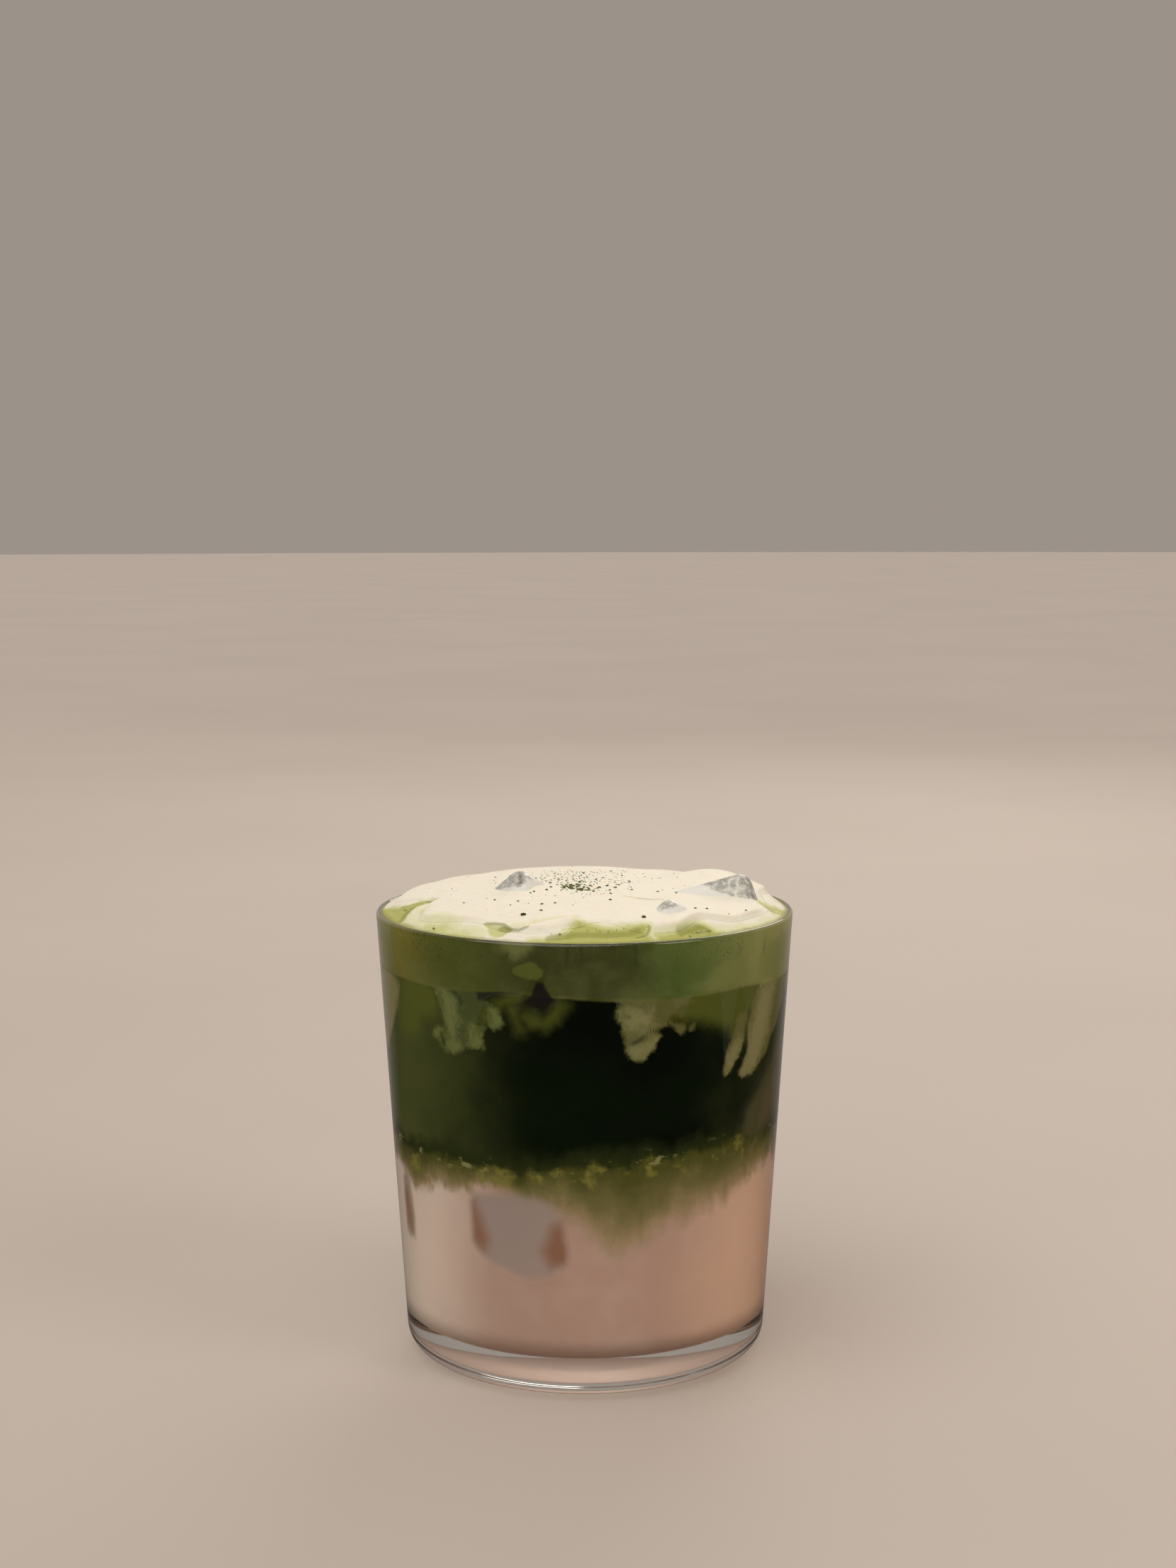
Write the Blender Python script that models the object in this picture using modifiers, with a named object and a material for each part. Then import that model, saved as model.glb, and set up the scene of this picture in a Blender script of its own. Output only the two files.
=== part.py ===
"""An iced matcha latte in its glass: a plain tapered tumbler filled to the brim with cold milk,
matcha, a green froth and a cap of white foam, with ice cubes standing up through the foam.

Metres, +Z up. The origin is at the centre of the glass's foot, on the table. The side seen first
faces -Y. An angle round the glass is 0 at that side and grows towards +X.
"""

import math
import random

import bmesh
import bpy
from mathutils import Matrix, Vector

# The glass.
GLASS_HEIGHT = 0.0940
RIM_RADIUS = 0.0440
FOOT_RADIUS = 0.0379  # where the straight wall would meet the table
HEEL_RADIUS = 0.0055
LIP_THICKNESS = 0.0014
LOW_WALL_THICKNESS = 0.0030
FLOOR_HEIGHT = 0.0078
FLOOR_CORNER_RADIUS = 0.0050
STANDING_RING_INNER = 0.0270
HOLLOW_RADIUS = 0.0240
HOLLOW_RISE = 0.0010

# The layers of the drink, at the wall.
MILK_LEVEL = 0.0480
MILK_WAVE = 0.0013
MATCHA_LEVEL = 0.0830
FOAM_EDGE_HEIGHT = 0.0938
SHOULDER_RISE = 0.0032
SHOULDER_POWER = 9
CROWN_RISE = 0.0012

# The cap of white foam on the froth, and the bays in its edge where the froth shows.
CAP_RADIUS = 0.0402
CAP_DEPTH = 0.0013
CAP_PROUD = 0.0003
BAYS = (  # angle and half width in degrees, depth in metres
    (-72, 17, 0.0066),
    (-36, 19, 0.0022),
    (4, 17, 0.0050),
    (38, 12, 0.0024),
    (87, 14, 0.0026),
    (130, 18, 0.0036),
    (172, 13, 0.0020),
    (-140, 20, 0.0032),
)

# Swells of the foam's top: centre, spread and height.
SWELLS = (
    (0.031, 0.010, 0.0078, 0.0028),
    (-0.002, 0.010, 0.0075, 0.0012),
    (-0.013, -0.006, 0.0060, 0.0008),
    (0.018, -0.027, 0.0060, 0.0006),
)

# Tongues of froth that sink into the matcha along the glass: angle, half width, length.
TONGUES = (
    (-77, 10, 0.0150),
    (-36, 11, 0.0120),
    (14, 7, 0.0120),
    (27, 4, 0.0050),
    (43, 4, 0.0160),
    (56, 9, 0.0180),
)
BACK_TONGUE_STEP = 27
TONGUE_REACH = 0.70  # how far in from the wall a tongue starts, as a share of the radius

# The ice that stands out of the foam: edge lengths, top corner, then its roll about Y, its pitch
# about X and its turn about Z in degrees, made in that order.
ICE_BEVEL = 0.0028
ICE = {
    "ice_back_left": ((0.020, 0.020, 0.020), (-0.0134, -0.0060, 0.1026), (42, 34, 4)),
    "ice_back_right": ((0.020, 0.016, 0.013), (0.0325, -0.0050, 0.1017), (-20, -28, 0)),
    "ice_front_right": ((0.014, 0.013, 0.014), (0.0172, -0.0264, 0.0998), (45, 33, -32)),
}

# The matcha powder's larger grains on the foam.
GRAIN_COUNT = 42
GRAIN_WIDTH = 0.0012
POWDER_CENTRE = (-0.0030, -0.0015)
POWDER_SPREAD = 0.0085

GAP = 0.0003  # between touching pieces
GLASS_STEPS = 64
DRINK_STEPS = 80
ARC_STEPS = 4


def clear_scene():
    for obj in list(bpy.data.objects):
        bpy.data.objects.remove(obj, do_unlink=True)


def new_collection(name):
    collection = bpy.data.collections.new(name)
    bpy.context.scene.collection.children.link(collection)
    return collection


def new_material(name, colour, roughness, transmission=0.0):
    material = bpy.data.materials.new(name)
    material.use_nodes = True
    shader = material.node_tree.nodes["Principled BSDF"]
    shader.inputs["Base Color"].default_value = (*colour, 1.0)
    shader.inputs["Roughness"].default_value = roughness
    shader.inputs["Metallic"].default_value = 0.0
    shader.inputs["Transmission Weight"].default_value = transmission
    return material


def arc(centre, radius, start, end, steps=ARC_STEPS):
    """Points of (radius, height) on an arc, its angles in degrees from +X."""
    points = []
    for step in range(steps + 1):
        angle = math.radians(start + (end - start) * step / steps)
        points.append((centre[0] + radius * math.cos(angle), centre[1] + radius * math.sin(angle)))
    return points


def turn(name, profile, collection, steps=DRINK_STEPS):
    """An open profile of (radius, height) points, turned round the axis of the glass."""
    mesh = bpy.data.meshes.new(name)
    edges = [(i, i + 1) for i in range(len(profile) - 1)]
    mesh.from_pydata([(radius, 0.0, height) for radius, height in profile], edges, [])
    obj = bpy.data.objects.new(name, mesh)
    collection.objects.link(obj)
    screw = obj.modifiers.new("Turn", "SCREW")
    screw.steps = screw.render_steps = steps
    screw.use_merge_vertices = True
    screw.merge_threshold = 1e-5
    return obj


def apply_modifiers(obj):
    """Replaces the object's mesh by what its modifiers make of it."""
    bpy.context.view_layer.update()
    evaluated = obj.evaluated_get(bpy.context.evaluated_depsgraph_get())
    mesh = bpy.data.meshes.new_from_object(evaluated)
    obj.modifiers.clear()
    old = obj.data
    obj.data = mesh
    bpy.data.meshes.remove(old)


def smooth(obj, angle=35):
    obj.data.shade_smooth()
    obj.data.set_sharp_from_angle(angle=math.radians(angle))


def outer_radius(height):
    return FOOT_RADIUS + (RIM_RADIUS - FOOT_RADIUS) * height / GLASS_HEIGHT


def inner_radius(height):
    thinning = (LOW_WALL_THICKNESS - LIP_THICKNESS) * height / GLASS_HEIGHT
    return outer_radius(height) - LOW_WALL_THICKNESS + thinning


def drink_radius(height):
    """The drink's outer radius, a gap inside the wall, above the rounded corner of the floor."""
    return inner_radius(min(height, GLASS_HEIGHT - LIP_THICKNESS / 2)) - GAP


def make_glass(collection):
    """A tumbler with a thick floor, a rounded heel and lip, and a shallow hollow underneath."""
    lip = LIP_THICKNESS / 2
    lip_height = GLASS_HEIGHT - lip
    corner_top = FLOOR_HEIGHT + FLOOR_CORNER_RADIUS
    corner = (inner_radius(corner_top) - FLOOR_CORNER_RADIUS, corner_top)
    heel = (outer_radius(HEEL_RADIUS) - HEEL_RADIUS, HEEL_RADIUS)
    lip_centre = ((outer_radius(lip_height) + inner_radius(lip_height)) / 2, lip_height)
    profile = [(0.0, FLOOR_HEIGHT), (corner[0] * 0.5, FLOOR_HEIGHT)]
    profile += arc(corner, FLOOR_CORNER_RADIUS, -90, 0)
    profile += arc(lip_centre, lip, 180, 0, 6)
    profile += arc(heel, HEEL_RADIUS, 0, -90)
    profile += [(STANDING_RING_INNER, 0.0), (HOLLOW_RADIUS, HOLLOW_RISE), (0.0, HOLLOW_RISE)]
    glass = turn("glass", profile, collection, GLASS_STEPS)
    glass.data.materials.append(new_material("clear glass", (0.93, 0.95, 0.93), 0.02, 1.0))
    apply_modifiers(glass)
    smooth(glass)
    return glass


def window(angle, centre, half_width):
    """A smooth bump, 1 at an angle round the glass and 0 from half a width away, in degrees."""
    away = abs((angle - centre + 180) % 360 - 180) / half_width
    return 0.5 + 0.5 * math.cos(math.pi * away) if away < 1 else 0.0


def milk_surface(angle):
    """The height where milk meets matcha, which rises and falls a little round the glass."""
    turned = math.radians(angle)
    return MILK_LEVEL + MILK_WAVE * (math.sin(turned + 0.3) + 0.4 * math.sin(3 * turned - 0.8))


def back_tongues():
    """The tongues round the side away from the viewer, uneven like the ones in front."""
    draw = random.Random(4)
    tongues = []
    for angle in range(95, 265, BACK_TONGUE_STEP):
        tongues.append((angle, draw.uniform(5, 11), draw.uniform(0.006, 0.017)))
    return tongues


def matcha_surface(share, angle, tongues):
    """The height where matcha meets froth, lower near the wall where a tongue of froth sinks."""
    reach = max(0.0, (share - TONGUE_REACH) / (1 - TONGUE_REACH))
    sink = max(length * window(angle, centre, half) for centre, half, length in tongues)
    return MATCHA_LEVEL - sink * reach * reach * (3 - 2 * reach)


def foam_body(x, y):
    """The height of the foam's broad mound: a flat top, a rounded shoulder and a low crown."""
    share = min(1.0, math.hypot(x, y) / drink_radius(FOAM_EDGE_HEIGHT))
    shoulder = SHOULDER_RISE * (1 - share**SHOULDER_POWER)
    return FOAM_EDGE_HEIGHT + shoulder + CROWN_RISE * (1 - share**2)


def foam_surface(x, y):
    """The height of the foam's top with its swells, which end before the wall."""
    share = min(1.0, math.hypot(x, y) / drink_radius(FOAM_EDGE_HEIGHT))
    height = foam_body(x, y)
    for centre_x, centre_y, spread, rise in SWELLS:
        away = math.hypot(x - centre_x, y - centre_y) / spread
        height += rise * math.exp(-away * away / 2) * (1 - share**8)
    return height


def cap_radius(angle):
    """The radius of the white foam's edge, drawn in at each bay."""
    return CAP_RADIUS - sum(depth * window(angle, centre, half) for centre, half, depth in BAYS)


def split_alike(mesh):
    """Splits four-sided faces so that a layer's top and the bottom resting on it match."""
    split = bmesh.new()
    split.from_mesh(mesh)
    split.normal_update()
    upper = [face for face in split.faces if face.normal.z >= 0]
    lower = [face for face in split.faces if face.normal.z < 0]
    bmesh.ops.triangulate(split, faces=upper, quad_method="FIXED")
    bmesh.ops.triangulate(split, faces=lower, quad_method="ALTERNATE")
    split.to_mesh(mesh)
    split.free()


def shape(obj, place):
    """Moves each point of a turned unit profile to where place(share, level, angle) puts it.

    The share is the point's radius in the unit profile, the level its height there.
    """
    apply_modifiers(obj)
    split_alike(obj.data)
    for vertex in obj.data.vertices:
        angle = math.degrees(math.atan2(vertex.co.x, -vertex.co.y))
        share = math.hypot(vertex.co.x, vertex.co.y)
        radius, height = place(share, round(vertex.co.z), angle)
        turned = math.radians(angle)
        vertex.co = (radius * math.sin(turned), -radius * math.cos(turned), height)
    obj.data.update()


def make_milk(collection):
    """The milk from the glass's floor up to the matcha."""
    corner_top = FLOOR_HEIGHT + FLOOR_CORNER_RADIUS
    corner = (inner_radius(corner_top) - FLOOR_CORNER_RADIUS, corner_top)
    side = arc(corner, FLOOR_CORNER_RADIUS - GAP, 0, -90)
    shares = (0.0, 0.5, 0.8, 1.0)
    profile = [(share * drink_radius(MILK_LEVEL), MILK_LEVEL) for share in shares]
    profile += side + [(side[-1][0] * 0.5, side[-1][1]), (0.0, side[-1][1])]
    milk = turn("milk", profile, collection)
    milk.data.materials.append(new_material("cold milk", (0.62, 0.47, 0.38), 0.4))
    apply_modifiers(milk)
    split_alike(milk.data)
    for vertex in milk.data.vertices:
        if vertex.co.z > MILK_LEVEL - GAP:
            angle = math.degrees(math.atan2(vertex.co.x, -vertex.co.y))
            share = math.hypot(vertex.co.x, vertex.co.y) / drink_radius(MILK_LEVEL)
            height = MILK_LEVEL + (milk_surface(angle) - MILK_LEVEL) * share
            scale = drink_radius(height) / drink_radius(MILK_LEVEL)
            vertex.co = (vertex.co.x * scale, vertex.co.y * scale, height)
    smooth(milk)
    return milk


def make_matcha(collection, tongues):
    """The matcha from the milk up to the froth, hollowed at the wall by the froth's tongues."""
    top = [(share, 1.0) for share in (0.0, 0.4, TONGUE_REACH, 0.82, 0.92, 1.0)]
    bottom = [(share, 0.0) for share in (1.0, 0.8, 0.5, 0.0)]
    matcha = turn("matcha", top + bottom, collection)
    matcha.data.materials.append(new_material("matcha", (0.012, 0.035, 0.006), 0.35))

    def place(share, level, angle):
        if level:
            height = matcha_surface(share, angle, tongues) - GAP / 2
        else:
            height = MILK_LEVEL + (milk_surface(angle) - MILK_LEVEL) * share + GAP
        return share * drink_radius(height), height

    shape(matcha, place)
    smooth(matcha)
    return matcha


RECESS_SHARE = 0.8  # the share of the unit profile that the froth's bed for the cap takes


def make_froth(collection, tongues):
    """The green froth from the matcha to the rim, with a shallow bed on top for the white cap."""
    bed = [(share * RECESS_SHARE, 1.0) for share in (0.0, 0.4, 0.7, 0.9, 1.0)]
    edge = [(share, 2.0) for share in (RECESS_SHARE, 0.86, 0.91, 0.96, 1.0)]
    bottom = [(share, 0.0) for share in (1.0, 0.92, 0.82, TONGUE_REACH, 0.4, 0.0)]
    froth = turn("green_froth", bed + edge + bottom, collection)
    froth.data.materials.append(new_material("green froth", (0.26, 0.29, 0.07), 0.6))

    def place(share, level, angle):
        if level == 0:
            height = matcha_surface(share, angle, tongues) + GAP / 2
            return share * drink_radius(height), height
        turned = math.radians(angle)
        inner = cap_radius(angle) + GAP
        if level == 1:
            radius = share / RECESS_SHARE * inner
            x, y = radius * math.sin(turned), -radius * math.cos(turned)
            return radius, foam_body(x, y) - CAP_DEPTH - GAP
        outer = drink_radius(FOAM_EDGE_HEIGHT)
        radius = inner + (outer - inner) * (share - RECESS_SHARE) / (1 - RECESS_SHARE)
        return radius, foam_surface(radius * math.sin(turned), -radius * math.cos(turned))

    shape(froth, place)
    smooth(froth)
    return froth


def make_cap(collection):
    """The white foam, a thin cap with bays in its edge and swells on its top."""
    top = [(share, 2.0) for share in (0.0, 0.14, 0.28, 0.42, 0.56, 0.7, 0.8, 0.9, 0.97)]
    bottom = [(share, 0.0) for share in (1.0, 0.9, 0.7, 0.4, 0.0)]
    cap = turn("white_foam", top + [(1.0, 1.0)] + bottom, collection)
    cap.data.materials.append(new_material("white foam", (0.90, 0.82, 0.65), 0.7))

    def place(share, level, angle):
        radius = share * cap_radius(angle)
        turned = math.radians(angle)
        x, y = radius * math.sin(turned), -radius * math.cos(turned)
        if level == 2:
            return radius, foam_surface(x, y) + CAP_PROUD
        if level == 1:
            return radius, foam_surface(x, y) - CAP_PROUD
        return radius, foam_body(x, y) - CAP_DEPTH

    shape(cap, place)
    return cap


def scatter(draw, ice):
    """Places for the grains: thick in the middle of the foam and thinning out, off the ice."""
    places = []
    while len(places) < GRAIN_COUNT:
        x = draw.gauss(POWDER_CENTRE[0], POWDER_SPREAD)
        y = draw.gauss(POWDER_CENTRE[1], POWDER_SPREAD)
        near_ice = any(math.hypot(x - top[0], y - top[1]) < 0.011 for _, top, _ in ice.values())
        near_grain = any(math.hypot(x - a, y - b) < 1.3 * GRAIN_WIDTH for a, b in places)
        if not near_ice and not near_grain:
            places.append((x, y))
    return places


def add_grains(cap):
    """Fuses the powder's larger grains to the top of the white foam."""
    draw = random.Random(11)
    grains = new_collection("grains")
    for number, (x, y) in enumerate(scatter(draw, ICE)):
        width = GRAIN_WIDTH * draw.uniform(0.75, 1.15)
        mesh = bpy.data.meshes.new(f"grain_{number}")
        shaped = bmesh.new()
        squash = Matrix.Diagonal((1.0, draw.uniform(0.6, 0.9), 0.6, 1.0))
        turned = Matrix.Rotation(draw.uniform(0, math.pi), 4, "Z")
        bmesh.ops.create_icosphere(shaped, subdivisions=1, radius=width / 2, matrix=turned @ squash)
        shaped.to_mesh(mesh)
        shaped.free()
        grain = bpy.data.objects.new(f"grain_{number}", mesh)
        grain.location = (x, y, foam_surface(x, y) + CAP_PROUD + width * 0.08)
        grain.hide_render = True
        grain.display_type = "WIRE"
        grains.objects.link(grain)
    union = cap.modifiers.new("Grains", "BOOLEAN")
    union.operation = "UNION"
    union.operand_type = "COLLECTION"
    union.collection = grains
    apply_modifiers(cap)
    for grain in list(grains.objects):
        bpy.data.objects.remove(grain, do_unlink=True)
    bpy.data.collections.remove(grains)


def make_cube(name, size, top, rotation, spare, collection):
    """A rounded block whose highest rounded corner touches a point, grown all round by spare."""
    turned = Matrix.Identity(3)
    for axis, degrees in zip("YXZ", rotation):
        turned = Matrix.Rotation(math.radians(degrees), 3, axis) @ turned
    inner = [length / 2 - ICE_BEVEL for length in size]
    corner = Vector([math.copysign(inner[i], turned[2][i]) for i in range(3)])
    centre = Vector(top) - turned @ corner - Vector((0.0, 0.0, ICE_BEVEL))
    mesh = bpy.data.meshes.new(name)
    shaped = bmesh.new()
    bmesh.ops.create_cube(shaped, size=1.0)
    bmesh.ops.scale(shaped, vec=[length + 2 * spare for length in size], verts=shaped.verts)
    shaped.to_mesh(mesh)
    shaped.free()
    cube = bpy.data.objects.new(name, mesh)
    cube.matrix_world = Matrix.Translation(centre) @ turned.to_4x4()
    collection.objects.link(cube)
    bevel = cube.modifiers.new("Melted edges", "BEVEL")
    bevel.width = ICE_BEVEL + spare
    bevel.segments = 3
    bevel.limit_method = "NONE"
    return cube


def main():
    clear_scene()
    drink = new_collection("iced matcha latte")
    cutters = new_collection("cutters")
    tongues = list(TONGUES) + back_tongues()
    make_glass(drink)
    make_milk(drink)
    layers = [make_matcha(drink, tongues), make_froth(drink, tongues), make_cap(drink)]
    ice_material = new_material("ice", (0.60, 0.62, 0.58), 0.15, 0.6)
    for name, (size, top, rotation) in ICE.items():
        cube = make_cube(name, size, top, rotation, 0.0, drink)
        cube.data.materials.append(ice_material)
        smooth(cube)
        cutter = make_cube(f"room_for_{name}", size, top, rotation, GAP, cutters)
        cutter.hide_render = True
        cutter.display_type = "WIRE"
        for layer in layers:
            cut = layer.modifiers.new(f"Round {name}", "BOOLEAN")
            cut.operation = "DIFFERENCE"
            cut.object = cutter
    add_grains(layers[-1])
    smooth(layers[-1])


main()
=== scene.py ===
"""The looks of an iced matcha latte: a clear tapered tumbler, filled to the brim with cold milk,
dark matcha and green froth, under white foam with ice standing out of it and matcha powder on top.

Metres, +Z up. The origin is at the centre of the glass's foot, on the floor. The side seen first
faces -Y. An angle round the glass is 0 at that side and grows towards +X.
"""

import math
import random

import bpy
import numpy as np
from mathutils import Matrix, Vector


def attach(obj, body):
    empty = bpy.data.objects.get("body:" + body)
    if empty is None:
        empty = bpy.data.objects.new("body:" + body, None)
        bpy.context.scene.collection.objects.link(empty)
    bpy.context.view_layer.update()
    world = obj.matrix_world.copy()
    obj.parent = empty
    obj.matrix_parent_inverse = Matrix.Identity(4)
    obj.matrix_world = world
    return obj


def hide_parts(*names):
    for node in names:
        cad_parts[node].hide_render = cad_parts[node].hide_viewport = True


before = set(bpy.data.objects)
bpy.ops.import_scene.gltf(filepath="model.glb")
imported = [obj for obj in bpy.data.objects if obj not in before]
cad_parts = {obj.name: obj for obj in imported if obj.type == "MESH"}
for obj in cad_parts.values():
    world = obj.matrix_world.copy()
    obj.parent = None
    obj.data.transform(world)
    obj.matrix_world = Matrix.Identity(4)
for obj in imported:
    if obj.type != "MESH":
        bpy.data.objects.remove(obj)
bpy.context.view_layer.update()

# The glass is a plain tumbler of clear soda glass with a thick floor, a rounded heel and a
# fire-polished lip. Its section is drawn as a chain of points and turned round the axis.
GLASS_HEIGHT = 0.0940
RIM_RADIUS = 0.0440
FOOT_RADIUS = 0.0379  # where the straight wall would meet the floor
HEEL_RADIUS = 0.0055
LIP_THICKNESS = 0.0014
LOW_WALL_THICKNESS = 0.0030
FLOOR_HEIGHT = 0.0078
FLOOR_CORNER_RADIUS = 0.0050
STANDING_RING_INNER = 0.0270
HOLLOW_RADIUS = 0.0240
HOLLOW_RISE = 0.0010
GLASS_STEPS = 256
SMOOTH_ANGLE = 50  # degrees; sharper edges stay sharp


def outer_radius(height):
    return FOOT_RADIUS + (RIM_RADIUS - FOOT_RADIUS) * height / GLASS_HEIGHT


def inner_radius(height):
    thinning = (LOW_WALL_THICKNESS - LIP_THICKNESS) * height / GLASS_HEIGHT
    return outer_radius(height) - LOW_WALL_THICKNESS + thinning


def arc(centre, radius, start, end, steps=8):
    """Points of (radius, height) on an arc, its angles in degrees from +X."""
    points = []
    for step in range(steps + 1):
        angle = math.radians(start + (end - start) * step / steps)
        points.append((centre[0] + radius * math.cos(angle), centre[1] + radius * math.sin(angle)))
    return points


def spin_round(name, section, steps):
    """Turns a section of (radius, height) points, with both ends on the axis, to a closed piece."""
    bpy.ops.object.select_all(action="DESELECT")
    bpy.ops.mesh.primitive_circle_add(vertices=len(section), radius=RIM_RADIUS)
    piece = bpy.context.object
    piece.name = piece.data.name = name
    for vertex, (radius, height) in zip(piece.data.vertices, section):
        vertex.co = (radius, 0.0, height)
    ends = {0, len(section) - 1}
    for vertex in piece.data.vertices:
        vertex.select = vertex.index in ends
    for edge in piece.data.edges:
        edge.select = set(edge.vertices) == ends
    bpy.ops.object.mode_set(mode="EDIT")
    bpy.ops.mesh.select_mode(type="EDGE")
    bpy.ops.mesh.delete(type="EDGE")
    bpy.ops.object.mode_set(mode="OBJECT")
    turned = piece.modifiers.new("Turned", "SCREW")
    turned.steps = turned.render_steps = steps
    turned.use_merge_vertices = True
    turned.merge_threshold = 1e-6
    bpy.ops.object.modifier_apply(modifier="Turned")
    bpy.ops.object.mode_set(mode="EDIT")
    bpy.ops.mesh.select_all(action="SELECT")
    bpy.ops.mesh.normals_make_consistent(inside=False)
    bpy.ops.object.mode_set(mode="OBJECT")
    return piece


def paint(red, green, blue):
    """A colour as read from a screen, 0 to 255, made linear."""
    linear = [((part / 255 + 0.055) / 1.055) ** 2.4 for part in (red, green, blue)]
    return (*linear, 1.0)


def feed(tree, socket, value):
    """Links a socket to another one's result, or sets it to a number or colour."""
    if isinstance(value, bpy.types.NodeSocket):
        tree.links.new(value, socket)
    else:
        socket.default_value = value


def lay_node(tree, kind, inputs, output=0, **settings):
    """Adds a node with its settings and inputs, and returns one of its outputs."""
    node = tree.nodes.new(kind)
    for key, value in settings.items():
        setattr(node, key, value)
    for key, value in inputs.items():
        feed(tree, node.inputs[key], value)
    return node.outputs[output]


class Finish:
    """A material whose nodes are laid one by one. Each call returns the socket of its result."""

    def __init__(self, name):
        self.material = bpy.data.materials.new(name)
        self.material.use_nodes = True
        self.tree = self.material.node_tree
        self.shader = self.tree.nodes["Principled BSDF"]

    def lay(self, kind, inputs, output=0, **settings):
        return lay_node(self.tree, kind, inputs, output, **settings)

    def set(self, **inputs):
        for key, value in inputs.items():
            feed(self.tree, self.shader.inputs[key.replace("_", " ")], value)

    def place(self, axis=None):
        """Where a point is on the piece, or one of its coordinates."""
        where = self.lay("ShaderNodeTexCoord", {}, "Object")
        return where if axis is None else self.lay("ShaderNodeSeparateXYZ", {0: where}, axis)

    def field(self, name):
        return self.lay("ShaderNodeAttribute", {}, "Fac", attribute_name=name)

    def sum(self, a, b):
        return self.lay("ShaderNodeMath", {0: a, 1: b}, operation="ADD")

    def times(self, a, b):
        return self.lay("ShaderNodeMath", {0: a, 1: b}, operation="MULTIPLY")

    def step(self, value, low, high):
        """0 below low and 1 above high, smooth between them, or the reverse if low is higher."""
        inputs = {"Value": value, "From Min": low, "From Max": high}
        return self.lay("ShaderNodeMapRange", inputs, interpolation_type="SMOOTHSTEP")

    def angle(self):
        """The angle round the glass in degrees."""
        back = self.times(self.place("Y"), -1.0)
        turned = self.lay("ShaderNodeMath", {0: self.place("X"), 1: back}, operation="ARCTAN2")
        return self.times(turned, 180 / math.pi)

    def noise(self, size, detail=3.0, rough=0.55, stretch=(1, 1, 1), lump=0.0):
        """Noise of mean 0, its coarsest grain of the given size in metres."""
        where = self.lay("ShaderNodeMapping", {"Vector": self.place(), "Scale": stretch})
        inputs = {"Vector": where, "Scale": 1 / size, "Detail": detail, "Roughness": rough}
        inputs["Distortion"] = lump
        return self.sum(self.lay("ShaderNodeTexNoise", inputs, "Fac"), -0.5)

    def cells(self, size, spread=1.0):
        """The distance to the nearest of many scattered points, in cells of the given size."""
        inputs = {"Vector": self.place(), "Scale": 1 / size, "Randomness": spread}
        return self.lay("ShaderNodeTexVoronoi", inputs, "Distance")

    def mix(self, share, a, b):
        return self.lay("ShaderNodeMix", {0: share, 6: a, 7: b}, 2, data_type="RGBA")

    def tint(self, colour, share, strength, over):
        """Lays a second colour over a first, at most as strongly as the strength says."""
        return self.mix(self.times(share, strength), colour, over)

    def stray(self, value, amount, size, **kind):
        """A value that strays by noise of a given amount and size."""
        return self.sum(value, self.times(self.noise(size, **kind), amount))

    def size_of(self, value):
        return self.lay("ShaderNodeMath", {0: value}, operation="ABSOLUTE")

    def ramp(self, value, low, high, stops):
        """Colours along a value from low to high: stops are (value, colour)."""
        share = self.lay("ShaderNodeMapRange", {"Value": value, "From Min": low, "From Max": high})
        node = self.tree.nodes.new("ShaderNodeValToRGB")
        self.tree.links.new(share, node.inputs[0])
        ramp = node.color_ramp
        ramp.interpolation = "EASE"
        for number, (at, colour) in enumerate(stops):
            position = (at - low) / (high - low)
            stop = ramp.elements[number] if number < 2 else ramp.elements.new(position)
            stop.position = position
            stop.color = colour
        return node.outputs[0]

    def bump(self, height, depth):
        """Relief of the given depth in metres, for heights from 0 to 1."""
        self.set(Normal=self.lay("ShaderNodeBump", {"Height": height, "Distance": depth}))

    def let_lamps_through(self, colour):
        """Lets a lamp's light pass straight through, so that what the glass holds is lit."""
        shadow = self.lay("ShaderNodeLightPath", {}, "Is Shadow Ray")
        clear = self.lay("ShaderNodeBsdfTransparent", {"Color": colour})
        solid = self.shader.outputs["BSDF"]
        both = self.lay("ShaderNodeMixShader", {0: shadow, 1: solid, 2: clear})
        self.tree.links.new(both, self.tree.nodes["Material Output"].inputs["Surface"])


def finish_piece(piece, look, slot, *nodes):
    """Gives a piece its material, fixes it to the glass's body and hides its nodes; the slot is not
    used.
    """
    bpy.ops.object.select_all(action="DESELECT")
    piece.select_set(True)
    bpy.context.view_layer.objects.active = piece
    bpy.ops.object.shade_smooth_by_angle(angle=math.radians(SMOOTH_ANGLE))
    piece.data.materials.clear()
    piece.data.materials.append(look.material)
    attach(piece, "root")
    if nodes:
        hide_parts(*nodes)


lip_height = GLASS_HEIGHT - LIP_THICKNESS / 2
corner_top = FLOOR_HEIGHT + FLOOR_CORNER_RADIUS
floor_corner = (inner_radius(corner_top) - FLOOR_CORNER_RADIUS, corner_top)
heel = (outer_radius(HEEL_RADIUS) - HEEL_RADIUS, HEEL_RADIUS)
lip_centre = ((outer_radius(lip_height) + inner_radius(lip_height)) / 2, lip_height)
section = [(0.0, FLOOR_HEIGHT), (floor_corner[0] * 0.5, FLOOR_HEIGHT)]
section += arc(floor_corner, FLOOR_CORNER_RADIUS, -90, 0)
section += [(inner_radius(height), height) for height in np.linspace(0.02, 0.09, 8)]
section += arc(lip_centre, LIP_THICKNESS / 2, 180, 0, 12)
section += [(outer_radius(height), height) for height in np.linspace(0.09, 0.01, 9)]
section += arc(heel, HEEL_RADIUS, 0, -90, 14)
section += [(STANDING_RING_INNER + 0.0012, 0.0), (STANDING_RING_INNER, 0.0001)]
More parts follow.
